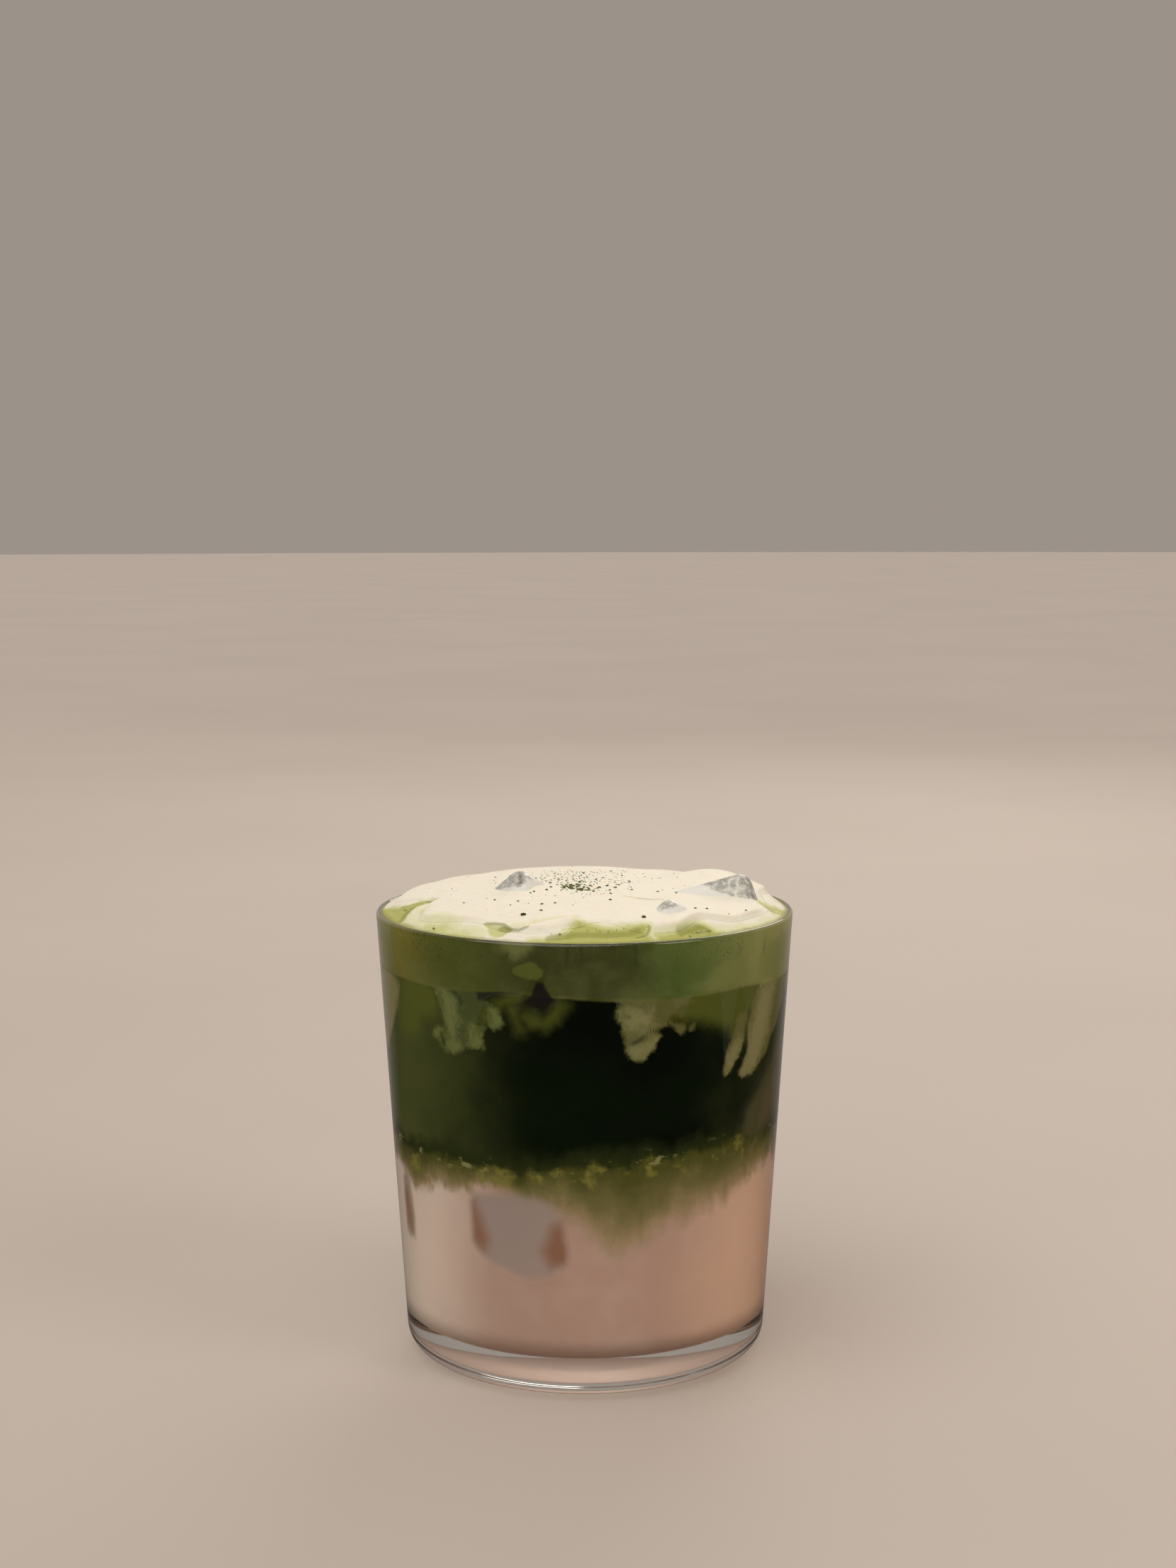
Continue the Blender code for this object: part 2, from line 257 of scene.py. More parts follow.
section += [(HOLLOW_RADIUS, HOLLOW_RISE), (HOLLOW_RADIUS * 0.5, HOLLOW_RISE), (0.0, HOLLOW_RISE)]
glass = spin_round("tumbler", section, GLASS_STEPS)

clear_glass = Finish("clear glass")
clear_glass.set(
    Base_Color=(0.965, 0.98, 0.955, 1.0),
    Transmission_Weight=1.0,
    IOR=1.5,
    Roughness=clear_glass.sum(clear_glass.times(clear_glass.noise(0.02), 0.02), 0.012),
)
clear_glass.bump(clear_glass.noise(0.03, detail=1.0, stretch=(1, 1, 0.4)), 0.00002)
clear_glass.let_lamps_through((0.96, 0.97, 0.95, 1.0))
finish_piece(glass, clear_glass, "glass", "glass")

# The milk fills the glass from its floor to just under half way. It is opaque, and drawn green
# where matcha has sunk into it. It reaches just into the wall, so no air shows between them.
MILK_LEVEL = 0.0480
MILK_WAVE = 0.0013
MILK_STEPS = 300
INTO_WALL = 0.00015
HAZES = (  # angle, and how far down matcha hangs in the milk there, in mm
    (-180, 8), (-150, 12), (-125, 7), (-100, 9), (-75, 6), (-62, 8), (-48, 6), (-40, 7), (-30, 5),
    (-15, 7), (-5, 11), (1, 15), (10, 18.5), (17, 18.5), (22, 14.5), (34, 13), (46, 13), (52, 10),
    (68, 8), (90, 7), (115, 13), (135, 16), (160, 9), (180, 8),
)


def wall_radius(height):
    """The outer radius of what fills the glass, just inside the glass's own wall."""
    return inner_radius(np.minimum(height, GLASS_HEIGHT - LIP_THICKNESS / 2)) + INTO_WALL


def window(angle, centre, half_width):
    """A smooth bump, 1 at an angle round the glass and 0 from half a width away, in degrees."""
    away = np.abs((angle - centre + 180) % 360 - 180) / half_width
    return np.where(away < 1, 0.5 + 0.5 * np.cos(np.pi * np.minimum(away, 1.0)), 0.0)


def milk_surface(angle):
    """The height where milk meets matcha, which rises and falls a little round the glass."""
    turned = np.radians(angle)
    return MILK_LEVEL + MILK_WAVE * (np.sin(turned + 0.3) + 0.4 * np.sin(3 * turned - 0.8))


def points_of(piece):
    flat = np.empty(len(piece.data.vertices) * 3)
    piece.data.vertices.foreach_get("co", flat)
    return flat.reshape(-1, 3)


def move_points(piece, points):
    piece.data.vertices.foreach_set("co", points.ravel())
    piece.data.update()


def angle_of(points):
    return np.degrees(np.arctan2(points[:, 0], -points[:, 1]))


def around(radius, angle):
    """The x and y of a point at a radius and an angle round the glass."""
    turned = np.radians(angle)
    return radius * np.sin(turned), -radius * np.cos(turned)


def add_field(piece, name, values):
    """Keeps a number at each point of the piece, which its material reads."""
    field = piece.data.attributes.new(name, "FLOAT", "POINT")
    field.data.foreach_set("value", np.asarray(values, dtype=np.float32))


def add_seam_fields(piece):
    """Height over the milk's surface, and how far matcha hangs below it, both in mm."""
    points = points_of(piece)
    angle = angle_of(points)
    add_field(piece, "rise", (points[:, 2] - milk_surface(angle)) * 1000)
    add_field(piece, "reach", np.interp(angle, *zip(*HAZES)))


side = float(wall_radius(MILK_LEVEL))
section = [(0.0, MILK_LEVEL), (side * 0.5, MILK_LEVEL), (side * 0.8, MILK_LEVEL)]
heights = np.linspace(MILK_LEVEL, corner_top, 44)
section += [(float(wall_radius(height)), height) for height in heights]
section += arc(floor_corner, FLOOR_CORNER_RADIUS + INTO_WALL, 0, -90)[1:]
section += [(floor_corner[0] * 0.5, FLOOR_HEIGHT - INTO_WALL), (0.0, FLOOR_HEIGHT - INTO_WALL)]
milk = spin_round("cold_milk", section, MILK_STEPS)
points = points_of(milk)
lift = (milk_surface(angle_of(points)) - MILK_LEVEL) * np.clip((points[:, 2] - 0.03) / 0.018, 0, 1)
points[:, :2] *= (wall_radius(points[:, 2] + lift) / wall_radius(points[:, 2]))[:, None]
points[:, 2] += lift
move_points(milk, points)
add_seam_fields(milk)

MILK_PALE_LIT = paint(234, 217, 204)
MILK_SHADED = paint(186, 154, 140)
MILK_WARM_LIT = paint(220, 184, 162)
HAZE_PALE = paint(158, 138, 104)
HAZE_GREEN = paint(124, 114, 72)
HAZE_DEEP = paint(82, 82, 34)
FLECK_GREEN = paint(132, 126, 58)
FLECK_PALE = paint(148, 144, 96)
MATCHA_BLACK = paint(4, 10, 3)
MATCHA_DEEP = paint(12, 22, 6)
MATCHA_LIT_SIDES = paint(84, 90, 46)
MATCHA_SEAM = paint(46, 52, 22)


def milk_colour(look):
    """Milk with painted light and shade: paler at the left, darker in the middle, warmer at the
    right, and faintly cloudy.
    """
    # Painted light: the spread across X stands for light falling from the left and warm light from
    # the right on milk of one colour.
    across = look.stray(look.place("X"), 0.012, 0.04)
    stops = ((-0.038, MILK_PALE_LIT), (-0.014, MILK_SHADED), (0.012, MILK_SHADED), (0.036, MILK_WARM_LIT))
    colour = look.ramp(across, -0.04, 0.04, stops)
    return look.tint(colour, look.step(look.noise(0.012), -0.1, 0.25), 0.12, MILK_PALE_LIT)


def drink_colour(look):
    """Milk, green where matcha hangs in it, soft flecks along the seam, then dark matcha, paler at
    the sides as painted light.
    """
    cloud = look.noise(0.011, detail=5.0, rough=0.6, stretch=(1, 1, 0.6), lump=0.5)
    cloud = look.stray(look.times(cloud, 8.5), 4.0, 0.0035, detail=4.0, rough=0.6)
    fall = look.sum(look.times(look.field("rise"), -1.0), cloud)
    share = look.lay("ShaderNodeMath", {0: fall, 1: look.field("reach")}, operation="DIVIDE")
    share = look.stray(share, 0.5, 0.006, detail=4.0, stretch=(1, 1, 0.4))
    colour = look.mix(look.step(share, 1.15, 0.65), milk_colour(look), HAZE_PALE)
    colour = look.mix(look.step(share, 0.85, 0.45), colour, HAZE_GREEN)
    colour = look.mix(look.step(share, 0.60, 0.05), colour, HAZE_DEEP)
    band = look.times(look.step(fall, -2.2, -0.2), look.step(fall, 7.0, 2.0))
    fleck = look.step(look.noise(0.0045, detail=4.0, rough=0.6), 0.02, 0.16)
    colour = look.tint(colour, look.times(band, fleck), 0.9, FLECK_GREEN)
    # Painted light: the matcha grows paler towards the sides, for light through its thin edge and
    # the glass's reflection there.
    side = look.stray(look.size_of(look.sum(look.place("X"), -0.007)), 0.030, 0.024, detail=5.0)
    side = look.step(side, 0.014, 0.048)
    dark = look.mix(look.step(look.noise(0.03), -0.15, 0.2), MATCHA_BLACK, MATCHA_DEEP)
    dark = look.mix(side, dark, MATCHA_LIT_SIDES)
    dark = look.mix(look.step(fall, -5.0, -0.5), dark, MATCHA_SEAM)
    colour = look.mix(look.step(fall, 0.9, -1.2), colour, dark)
    dab = look.step(look.noise(0.003, detail=3.0, stretch=(0.7, 0.7, 1.4)), 0.10, 0.20)
    near = look.times(look.step(fall, -2.6, -0.8), look.step(fall, 2.0, 0.2))
    return look.tint(colour, look.times(near, dab), 0.85, FLECK_PALE)


cold_milk = Finish("cold milk")
cold_milk.set(Base_Color=drink_colour(cold_milk), Roughness=0.5, Specular_IOR_Level=0.1)
cold_milk.bump(cold_milk.noise(0.002), 0.00002)
finish_piece(milk, cold_milk, "milk", "milk")

# The matcha is a dark, clear layer on the milk. Froth sinks into it in tongues along the glass,
# lacy at their ends, and it clears to a paler green where it is thin.
MATCHA_LEVEL = 0.0830
MATCHA_STEPS = 480
TONGUE_REACH = 0.70  # how far in from the wall a tongue starts, as a share of the radius
TONGUES = (  # angle and half width in degrees, length in metres
    (-77, 10, 0.0150),
    (-36, 11, 0.0120),
    (14, 7, 0.0120),
    (27, 4, 0.0050),
    (43, 4, 0.0160),
    (56, 9, 0.0180),
)
BACK_TONGUE_STEP = 27
CURDS = (  # outlines of sunk froth, in degrees and mm
    ((-43, 84.5), (-40.9, 84.4), (-40, 83.1), (-37.1, 82.5), (-35, 83.8), (-29.5, 83.7),
     (-29.2, 82), (-26.6, 81.9), (-23.8, 80.3), (-22.3, 77.2), (-25.3, 75.9), (-27.4, 76.3),
     (-28.5, 73.9), (-28.7, 71.6), (-34.2, 71.4), (-36.8, 70.6), (-38.9, 69.5), (-41.5, 69.8),
     (-44.2, 71), (-44.6, 72.1), (-46.9, 72.7), (-46, 74.3), (-42.5, 75.3), (-42.8, 77.6),
     (-43.6, 79.8), (-45.6, 81.6), (-48.4, 83.1)),
    ((6.7, 84.4), (9, 81.8), (8.6, 80.1), (8.7, 78.3), (10.2, 76.6), (10.7, 74.3), (11.5, 72),
     (12.7, 70.5), (14.7, 69.8), (17.1, 70.3), (19.1, 71.9), (20.2, 73.6), (21, 75), (18.1, 75.7),
     (20.1, 76.4), (22.6, 76.9), (23.3, 78.3), (26.6, 80.3), (31, 81.4), (20, 85)),
    ((23.4, 77.7), (25.2, 75.8), (26.5, 74.3), (29.1, 75.3), (31.4, 75.4), (30.8, 76.6),
     (28.7, 75.6), (27.7, 77.1)),
    ((48, 78), (46.3, 75), (44.9, 72.3), (42.5, 68.1), (42.3, 64.9), (44.7, 64.4), (46.7, 66.8),
     (49.5, 69.1), (51, 72.1), (53.2, 75.4)),
    ((51.1, 71.5), (52.9, 68.9), (50.5, 67.2), (48.6, 64.2), (50.4, 63.2), (55.3, 63.3),
     (58.9, 65.1), (63, 66.9), (65.3, 69.5), (70.3, 73), (75, 77.1), (74, 84), (62, 90), (54.8, 90),
     (55, 86), (56.3, 82.6), (52.2, 77.8)),
    ((-106, 84), (-80, 83.6), (-65.4, 83.3), (-61.5, 82.2), (-64.3, 75.8), (-70.1, 72), (-75.5, 67),
     (-81, 63.5), (-85, 64), (-88, 69), (-93, 72), (-96, 78)),
)
PALE_CURDS = (  # the thickest parts of them
    ((-25, 79.9), (-23.8, 80.3), (-22.3, 77.2), (-25.3, 76.6)),
    ((-38.5, 73.4), (-36.7, 70.9), (-39.2, 69.6), (-41.2, 70.7), (-40.1, 72.6)),
    ((-31.1, 75.5), (-28.7, 73.9), (-29.3, 71.9), (-32.3, 71.6), (-31.7, 73.7)),
    ((-46, 74.3), (-43.4, 74.6), (-43.9, 73.1), (-46.2, 72.8)),
    ((-42.5, 84.3), (-40.6, 83), (-38.2, 80.9), (-37.5, 77.8), (-39, 73.6), (-40.7, 76.9),
     (-41.4, 80.6)),
    ((11.5, 72.4), (15, 73), (20.2, 74.8), (19.1, 71.9), (17.1, 70.3), (14.7, 69.8), (12.7, 70.5)),
    ((9, 79.5), (12, 80.5), (17, 79.5), (18, 77.5), (12, 76.5)),
    ((43, 65), (44.5, 65), (48, 71), (46, 70)),
    ((50, 64.2), (56, 65), (62, 72), (66, 82), (58, 80), (54, 70)),
    ((-98, 84), (-66, 83), (-63, 80), (-68, 74), (-78, 67), (-84, 66), (-92, 76)),
    ((55.5, 88), (64, 87.4), (63.1, 82.3), (56, 82.7)),
)
MISTS = (  # outlines of soft green under the froth
    ((-58.9, 84), (-44.3, 84), (-43.6, 80.1), (-45.1, 77.3), (-48.1, 77), (-50.8, 75.8),
     (-54, 73.1), (-59.7, 71.7), (-64, 72.9), (-61.5, 79.2)),
    ((20, 84), (22.5, 78.3), (31.2, 77.4), (38.5, 76.1), (44, 74.7), (45.4, 72.8), (50, 74.6),
     (58, 78), (60, 84)),
    ((48, 84), (50, 77), (51, 71.5), (55, 70.5), (59, 72), (63, 76), (70, 79), (84, 80), (84, 84)),
    ((-16.5, 78.9), (-13.6, 79.5), (-10.8, 78.2), (-6.2, 82.2), (-5.2, 81.4), (-10, 77),
     (-15, 77.2)),
    ((-20.6, 81), (-19.2, 80.9), (-17.8, 78), (-16.8, 76), (-18, 76), (-19.8, 79)),
    ((-24, 81.9), (-18, 83.5), (-15.2, 85.6), (-15, 84.4), (-18, 82.3), (-23.5, 80.8)),
)
GROOVES = (  # dark lines in the sunk froth
    ((11, 73.1), (14.6, 74.1), (18.5, 76)),
    ((-36.6, 82.4), (-35, 80.4)),
    ((-43, 73.6), (-42.4, 71.6)),
    ((52.2, 77.8), (50.9, 73.3), (51.6, 70)),
    ((8, 79.4), (12, 79.2)),
)
BLOBS = (  # a knob of lighter froth against the glass
    ((-19.4, 88.8), (-16.1, 89.8), (-14.1, 90.3), (-12.6, 89.8), (-10.6, 88.6), (-10.8, 87.4),
     (-12.4, 86.4), (-14.7, 86.5), (-17.7, 87.1), (-19.3, 87.7)),
)
GLOWS = (  # paler places in the froth
    ((-23, 96), (-23, 92), (-20, 90.6), (-15, 91.2), (-12, 92), (-12, 96)),
    ((30, 84), (36, 88.5), (44, 90), (50, 86), (45, 83), (36, 82.6)),
    ((55, 90), (66, 92), (84, 92), (84, 81), (64, 82), (56, 82.5)),
    ((-90, 96), (-64, 96), (-62, 89), (-66, 84), (-90, 82)),
    ((150, 96), (152, 90), (162, 90), (164, 96)),
)
LEVELS = (  # angle, and the height of the matcha's level there in mm
    (-180, 83.0), (-120, 82.6), (-90, 83.4), (-58, 83.3), (-35, 83.0), (-20, 84.0), (-8, 83.2),
    (1, 82.7), (18, 82.1), (35, 82.4), (50, 82.6), (64, 81.8), (90, 82.2), (130, 83.2),
    (180, 83.0),
)
DEGREE = 0.70  # mm along the wall


def random_drip(draw, angle, half, length):
    """The wavering outline of a tongue of froth on the side away from the viewer."""
    sides = []
    for side in (-1, 1):
        for step in range(6):
            share = step / 6
            width = half * math.sqrt(1 - share**1.5) * draw.uniform(0.65, 1.15)
            sides.append((angle + side * width, 84.5 - share * length * 1000))
    tip = (angle + draw.uniform(-1.5, 1.5), 84.5 - length * 1000)
    return (*sides[:6], tip, *reversed(sides[6:]))


draw = random.Random(4)
back_tongues = []
for angle in range(95, 265, BACK_TONGUE_STEP):
    back_tongues.append((angle, draw.uniform(5, 11), draw.uniform(0.006, 0.017)))
draw = random.Random(7)


def back_drips(wide, long):
    """A drip for each tongue at the back, its width and length as shares of the tongue's."""
    drips = []
    for angle, half, length in back_tongues:
        drips.append(random_drip(draw, angle, half * wide, length * long))
    return drips


back_curds = back_drips(0.8, 1.0)
back_mists = back_drips(1.7, 0.7)
back_pale = back_drips(0.3, 0.9)


def matcha_surface(share, angle):
    """The height where matcha meets froth, lower near the wall where a tongue of froth sinks."""
    reach = np.clip((share - TONGUE_REACH) / (1 - TONGUE_REACH), 0, 1)
    tongues = (*TONGUES, *back_tongues)
    sinks = [length * window(angle, centre, half) for centre, half, length in tongues]
    return MATCHA_LEVEL - np.max(sinks, axis=0) * reach * reach * (3 - 2 * reach)


def distance_to_line(x, y, line):
    """The distance to a chain of points, all in mm."""
    nearest = np.full(np.shape(x), 99.0)
    for (ax, ay), (bx, by) in zip(line, line[1:]):
        along_x, along_y = bx - ax, by - ay
        share = ((x - ax) * along_x + (y - ay) * along_y) / (along_x**2 + along_y**2)
        share = np.clip(share, 0, 1)
        nearest = np.minimum(nearest, np.hypot(x - ax - share * along_x, y - ay - share * along_y))
    return nearest


def depth_in_outline(x, y, outline):
    """How deep a point lies inside a closed outline, in mm, below 0 outside."""
    inside = np.zeros(np.shape(x), dtype=bool)
    for (ax, ay), (bx, by) in zip(outline, (*outline[1:], outline[0])):
        crossed = (ay > y) != (by > y)
        inside ^= crossed & (x < ax + (y - ay) * (bx - ax) / (by - ay if by != ay else 1e-9))
    away = distance_to_line(x, y, (*outline, outline[0]))
    return np.where(inside, away, -away)


def on_wall(angle, height, line, measure):
    """Measures points of the wall against a line given in degrees and mm, in mm along the wall."""
    middle = line[0][0]
    across = ((angle - middle + 180) % 360 - 180) * DEGREE
    return measure(across, height * 1000, [((at - middle) * DEGREE, level) for at, level in line])


OUTSIDE = -9  # the depth in mm that stands for anywhere far outside


def deepest(angle, height, outlines):
    depths = [on_wall(angle, height, line, depth_in_outline) for line in outlines]
    return np.maximum(np.max(depths, axis=0), OUTSIDE)


def add_froth_fields(piece):
    """How deep a point lies in sunk froth and mist, and its height over the matcha's level."""
    points = points_of(piece)
    angle, height = angle_of(points), points[:, 2]
    add_field(piece, "curd", deepest(angle, height, (*CURDS, *back_curds)))
    add_field(piece, "pale", deepest(angle, height, (*PALE_CURDS, *back_pale)))
    add_field(piece, "mist", deepest(angle, height, (*MISTS, *back_mists)))
    grooves = [on_wall(angle, height, line, distance_to_line) for line in GROOVES]
    add_field(piece, "groove", np.min(grooves, axis=0))
    add_field(piece, "blob", deepest(angle, height, BLOBS))
    add_field(piece, "glow", deepest(angle, height, GLOWS))
    add_field(piece, "over", height * 1000 - np.interp(angle, *zip(*LEVELS)))


def shape(piece, place):
    """Moves each point of a turned unit section to where place(share, level, angle) puts it.

    The share is the point's radius in the unit section, the level its height there.
    """
    points = points_of(piece)
    angle = angle_of(points)
    share = np.hypot(points[:, 0], points[:, 1])
    radius, height = place(share, np.round(points[:, 2], 5), angle)
    move_points(piece, np.stack((*around(radius, angle), height), axis=1))


shares = [(share, 1.0) for share in (0.0, 0.4, 0.7, 0.76, 0.82, 0.88, 0.94)]
sides = [(1.0, level) for level in np.linspace(1.0, 0.0, 62)]
below = [(0.8, 0.0), (0.5, 0.0), (0.0, 0.0)]
matcha = spin_round("matcha_layer", shares + sides + below, MATCHA_STEPS)


def place_matcha(share, level, angle):
    low = MILK_LEVEL + (milk_surface(angle) - MILK_LEVEL) * share
    height = low + (matcha_surface(share, angle) - low) * level
    return share * wall_radius(height), height


shape(matcha, place_matcha)
add_seam_fields(matcha)
add_froth_fields(matcha)

MIST_GREEN = paint(98, 104, 42)
CURD_SHADE = paint(74, 82, 36)
CURD_PALE = paint(122, 128, 74)
CURD_SHADE_WARM = paint(112, 108, 64)
CURD_PALE_WARM = paint(150, 142, 98)
LEVEL_LINE = paint(116, 116, 62)
BUBBLE_AND_REFRACTION_DARK = paint(34, 38, 8)
BLOB_OLIVE = paint(88, 96, 30)
BLOB_EDGE = paint(58, 62, 16)
GLOW_GREEN = paint(128, 132, 76)


# These colours are taken as lit, so the paler, yellower sides hold painted light and reflection as
# well as the froth's own colour.
FROTH_ROUND = (  # angle, and the froth's colour at the wall there as a screen shows it
    (-180, 92, 98, 40), (-130, 112, 112, 52), (-85, 162, 154, 96), (-62, 126, 120, 50),
    (-38, 80, 86, 25), (-12, 56, 59, 14), (8, 57, 62, 16), (28, 82, 98, 38), (42, 112, 120, 64),
    (58, 146, 146, 88), (85, 166, 160, 98), (125, 96, 104, 42), (155, 78, 84, 26),
    (180, 92, 98, 40),
)


def froth_band(look):
    """The froth's colour along the wall, paler and yellower towards the sides as painted light,
    with dark bubbles and painted refraction streaks near the rim.
    """
    stops = [(angle, paint(*colour)) for angle, *colour in FROTH_ROUND]
    colour = look.ramp(look.stray(look.angle(), 16.0, 0.012), -180, 180, stops)
    cloud = look.step(look.noise(0.006, detail=5.0, rough=0.65, lump=0.4), -0.12, 0.2)
    colour = look.tint(colour, cloud, 0.16, CURD_PALE)
    low = look.times(look.step(look.place("Z"), 0.0895, 0.0835), 0.22)
    colour = look.mix(look.times(low, look.step(look.noise(0.012), -0.2, 0.2)), colour, CURD_PALE)
    glow = look.stray(look.field("glow"), 5.0, 0.006, detail=4.0, lump=0.5)
    colour = look.tint(colour, look.step(glow, -0.8, 1.8), 0.6, GLOW_GREEN)
    # Painted refraction: dark vertical streaks near the rim stand in for the glass bending the
    # foam's edge.
    near_rim = look.step(look.place("Z"), 0.0870, 0.0915)
    refraction_streak = look.times(look.step(look.noise(0.003, stretch=(1.4, 1.4, 0.2)), 0.05, 0.3), near_rim)
    colour = look.tint(colour, refraction_streak, 0.5, BUBBLE_AND_REFRACTION_DARK)
    dots = look.step(look.cells(0.0008), 0.34, 0.16)
    dots = look.times(dots, look.step(look.noise(0.009), -0.02, 0.12))
    colour = look.tint(colour, look.times(dots, near_rim), 0.7, BUBBLE_AND_REFRACTION_DARK)
    blob = look.stray(look.field("blob"), 0.7, 0.002, lump=0.5)
    colour = look.tint(colour, look.step(blob, -0.6, -0.1), 0.6, BLOB_EDGE)
    return look.mix(look.step(blob, -0.15, 0.35), colour, BLOB_OLIVE)


def drink_side(look):
    """What shows through the glass: froth over its level, and curds and mist in the drink."""
    mist = look.stray(look.field("mist"), 3.5, 0.006, detail=5.0, rough=0.6, lump=0.5)
    colour = look.tint(drink_colour(look), look.step(mist, -2.4, 1.8), 0.80, MIST_GREEN)
    curd = look.stray(look.field("curd"), 3.4, 0.0028, detail=6.0, rough=0.7, lump=0.4)
    curd = look.step(curd, -0.5, 0.7)
    far_left = look.step(look.place("X"), -0.032, -0.039)
    warm = look.sum(look.step(look.place("X"), -0.012, 0.028), far_left)
    shade = look.mix(warm, CURD_SHADE, CURD_SHADE_WARM)
    thick = look.stray(look.field("pale"), 5.5, 0.0020, detail=6.0, rough=0.7, lump=0.4)
    thick = look.stray(thick, 3.0, 0.0011, detail=3.0)
    flesh = look.mix(look.step(thick, -2.6, 1.0), shade, look.mix(warm, CURD_PALE, CURD_PALE_WARM))
    colour = look.tint(colour, curd, 0.92, flesh)
    groove = look.step(look.stray(look.field("groove"), 0.8, 0.002), 0.8, 0.1)
    colour = look.tint(colour, groove, 0.7, MATCHA_SEAM)
    over = look.stray(look.field("over"), 0.5, 0.004)
    colour = look.mix(look.step(over, -0.3, 0.2), colour, froth_band(look))
    line = look.times(look.step(over, -0.5, 0.0), look.step(over, 0.7, 0.1))
    line = look.times(line, look.step(look.noise(0.012), -0.15, 0.15))
    return look.tint(colour, line, 0.5, LEVEL_LINE)


dark_matcha = Finish("dark matcha")
dark_matcha.set(Base_Color=drink_side(dark_matcha), Roughness=0.5, Specular_IOR_Level=0.0)
finish_piece(matcha, dark_matcha, "matcha", "matcha")

# The green froth stands from the matcha up to the rim and swells above it. It is fine wet foam,
# olive through the glass, and shows on top between the folds of the white foam.
FOAM_EDGE_HEIGHT = 0.0938
SHOULDER_RISE = 0.0032
SHOULDER_POWER = 9
CROWN_RISE = 0.0012
SWELLS = (  # centre, spread and height of the foam's swells
    (0.031, 0.010, 0.0078, 0.0028),
    (-0.002, 0.010, 0.0075, 0.0012),
    (-0.013, -0.006, 0.0060, 0.0008),
    (0.018, -0.027, 0.0060, 0.0006),
)
CAP_RADIUS = 0.0402
BAYS = (  # where the white foam's edge is drawn in: angle and half width in degrees, depth
    (-72, 17, 0.0066),
    (-36, 19, 0.0022),
    (4, 17, 0.0050),
    (38, 12, 0.0024),
    (87, 14, 0.0026),
    (130, 18, 0.0036),
    (172, 13, 0.0020),
    (-140, 20, 0.0032),
)
OPEN_FROTH = (  # green froth between the folds: how green, softness in mm, outline in mm
    (1.0, 0.7, ((-44, -1), (-40.6, -3.8), (-38.6, -8.2), (-36.7, -9.5), (-34.5, -8.8),
     (-32.9, -8.9), (-30.9, -10.7), (-30.8, -11.8), (-32.9, -11.8), (-34.5, -12.6), (-35.6, -14.4),
     (-36.3, -16.6), (-37, -20), (-44, -16))),
    (0.75, 2.2, ((-36.4, -18.8), (-34.3, -22.7), (-32, -24.2), (-29.8, -25.6), (-27.5, -27.7),
     (-25.2, -30.5), (-23.7, -32.4), (-21.8, -34.3), (-20.1, -36.1), (-22, -40), (-30, -33),
     (-39, -20))),
    (0.35, 2.0, ((-34.8, -15.5), (-33.8, -14.9), (-32.1, -16.9), (-31.3, -19.9), (-32.2, -21.7),
     (-33.7, -21))),
    (0.66, 0.35, ((-19.6, -32.7), (-17.4, -33.7), (-15.9, -34.8), (-15, -36.1), (-13.9, -36.9),
     (-15, -37.2), (-15.9, -38.3), (-17.3, -38.2), (-18.6, -37.4), (-19.1, -35.6))),
    (0.5, 0.9, ((-14.2, -35.4), (-11.7, -35.7), (-8.9, -34.4), (-4.8, -32.4), (-1.7, -31.2),
     (-0.4, -33.5), (-1, -35), (-2.5, -33.4), (-4.8, -34), (-8.9, -35.7), (-11.7, -37.2),
     (-14, -37.4))),
    (1.0, 0.8, ((-12, -44), (-10.9, -40.6), (-8.6, -40.7), (-6.4, -40.3), (-4.4, -39.7),
     (-3.2, -38.3), (-2.5, -36.6), (-1.3, -34.2), (0.8, -35.4), (3.6, -36.6), (6.4, -36.7),
     (9.2, -35.8), (11.3, -35.2), (12.5, -35.6), (12.9, -36.5), (12.5, -38.1), (13.6, -38.8),
     (14, -44))),
    (1.0, 0.8, ((13.3, -38.1), (15.4, -36.9), (17.6, -35.8), (19.3, -34.4), (21.2, -32.5),
     (22.7, -30.6), (23.5, -30.6), (24.8, -31.2), (26.1, -31.8), (27.3, -32.4), (28.4, -33.4),
     (15, -42))),
    (0.7, 1.6, ((24.8, -31.4), (27.7, -30.6), (31.4, -27.8), (34.4, -24.6), (37, -20.4),
     (39.6, -14.6), (41, -9), (44, -10), (30, -35))),
    (0.9, 0.6, ((35.7, -7.3), (37.7, -8.7), (40, -6.6), (44, -5), (42.5, -10.5), (39.3, -12.6),
     (38, -11.6), (36.4, -9.8))),
    (0.6, 0.8, ((38.5, 10), (40.4, 4), (41, 0), (44, 0), (41, 16), (36, 24), (33.5, 24),
     (36.5, 17))),
    (0.9, 0.9, ((30, 21), (31.5, 25), (27, 29.5), (21, 33), (24, 37), (36, 27), (34, 21))),
    (0.6, 1.8, ((-4, 38), (6, 39.6), (14, 38.4), (16, 44), (-8, 44))),
    (0.9, 0.9, ((-17, 37), (-22, 33), (-28, 28.5), (-26, 24.5), (-30, 24), (-36, 24), (-24, 38))),
    (0.6, 1.5, ((-38, 13), (-39.8, 5), (-44, 5), (-42, 15))),
)
DEEP_FROTH = (  # darker green in the open froth: width and points in mm
    (0.9, ((-35.5, -11.6), (-36.1, -14.1), (-36.8, -16.2), (-37.3, -18.7))),
    (0.6, ((-16.5, -35.3), (-15.6, -36.0), (-14.6, -36.9))),
    (1.0, ((-6.8, -40.7), (-3.3, -39.9), (-1.2, -39.2), (1.5, -39.4), (5.0, -39.2), (8.4, -38.6),
     (10.5, -37.5))),
    (1.2, ((18.9, -35.7), (21.1, -33.9), (22.8, -32.2), (24.1, -32.6))),
    (1.1, ((31.5, 23.0), (30.0, 27.0), (25.0, 31.5))),
    (1.1, ((-20.0, 36.0), (-26.0, 30.5), (-30.0, 26.0))),
)
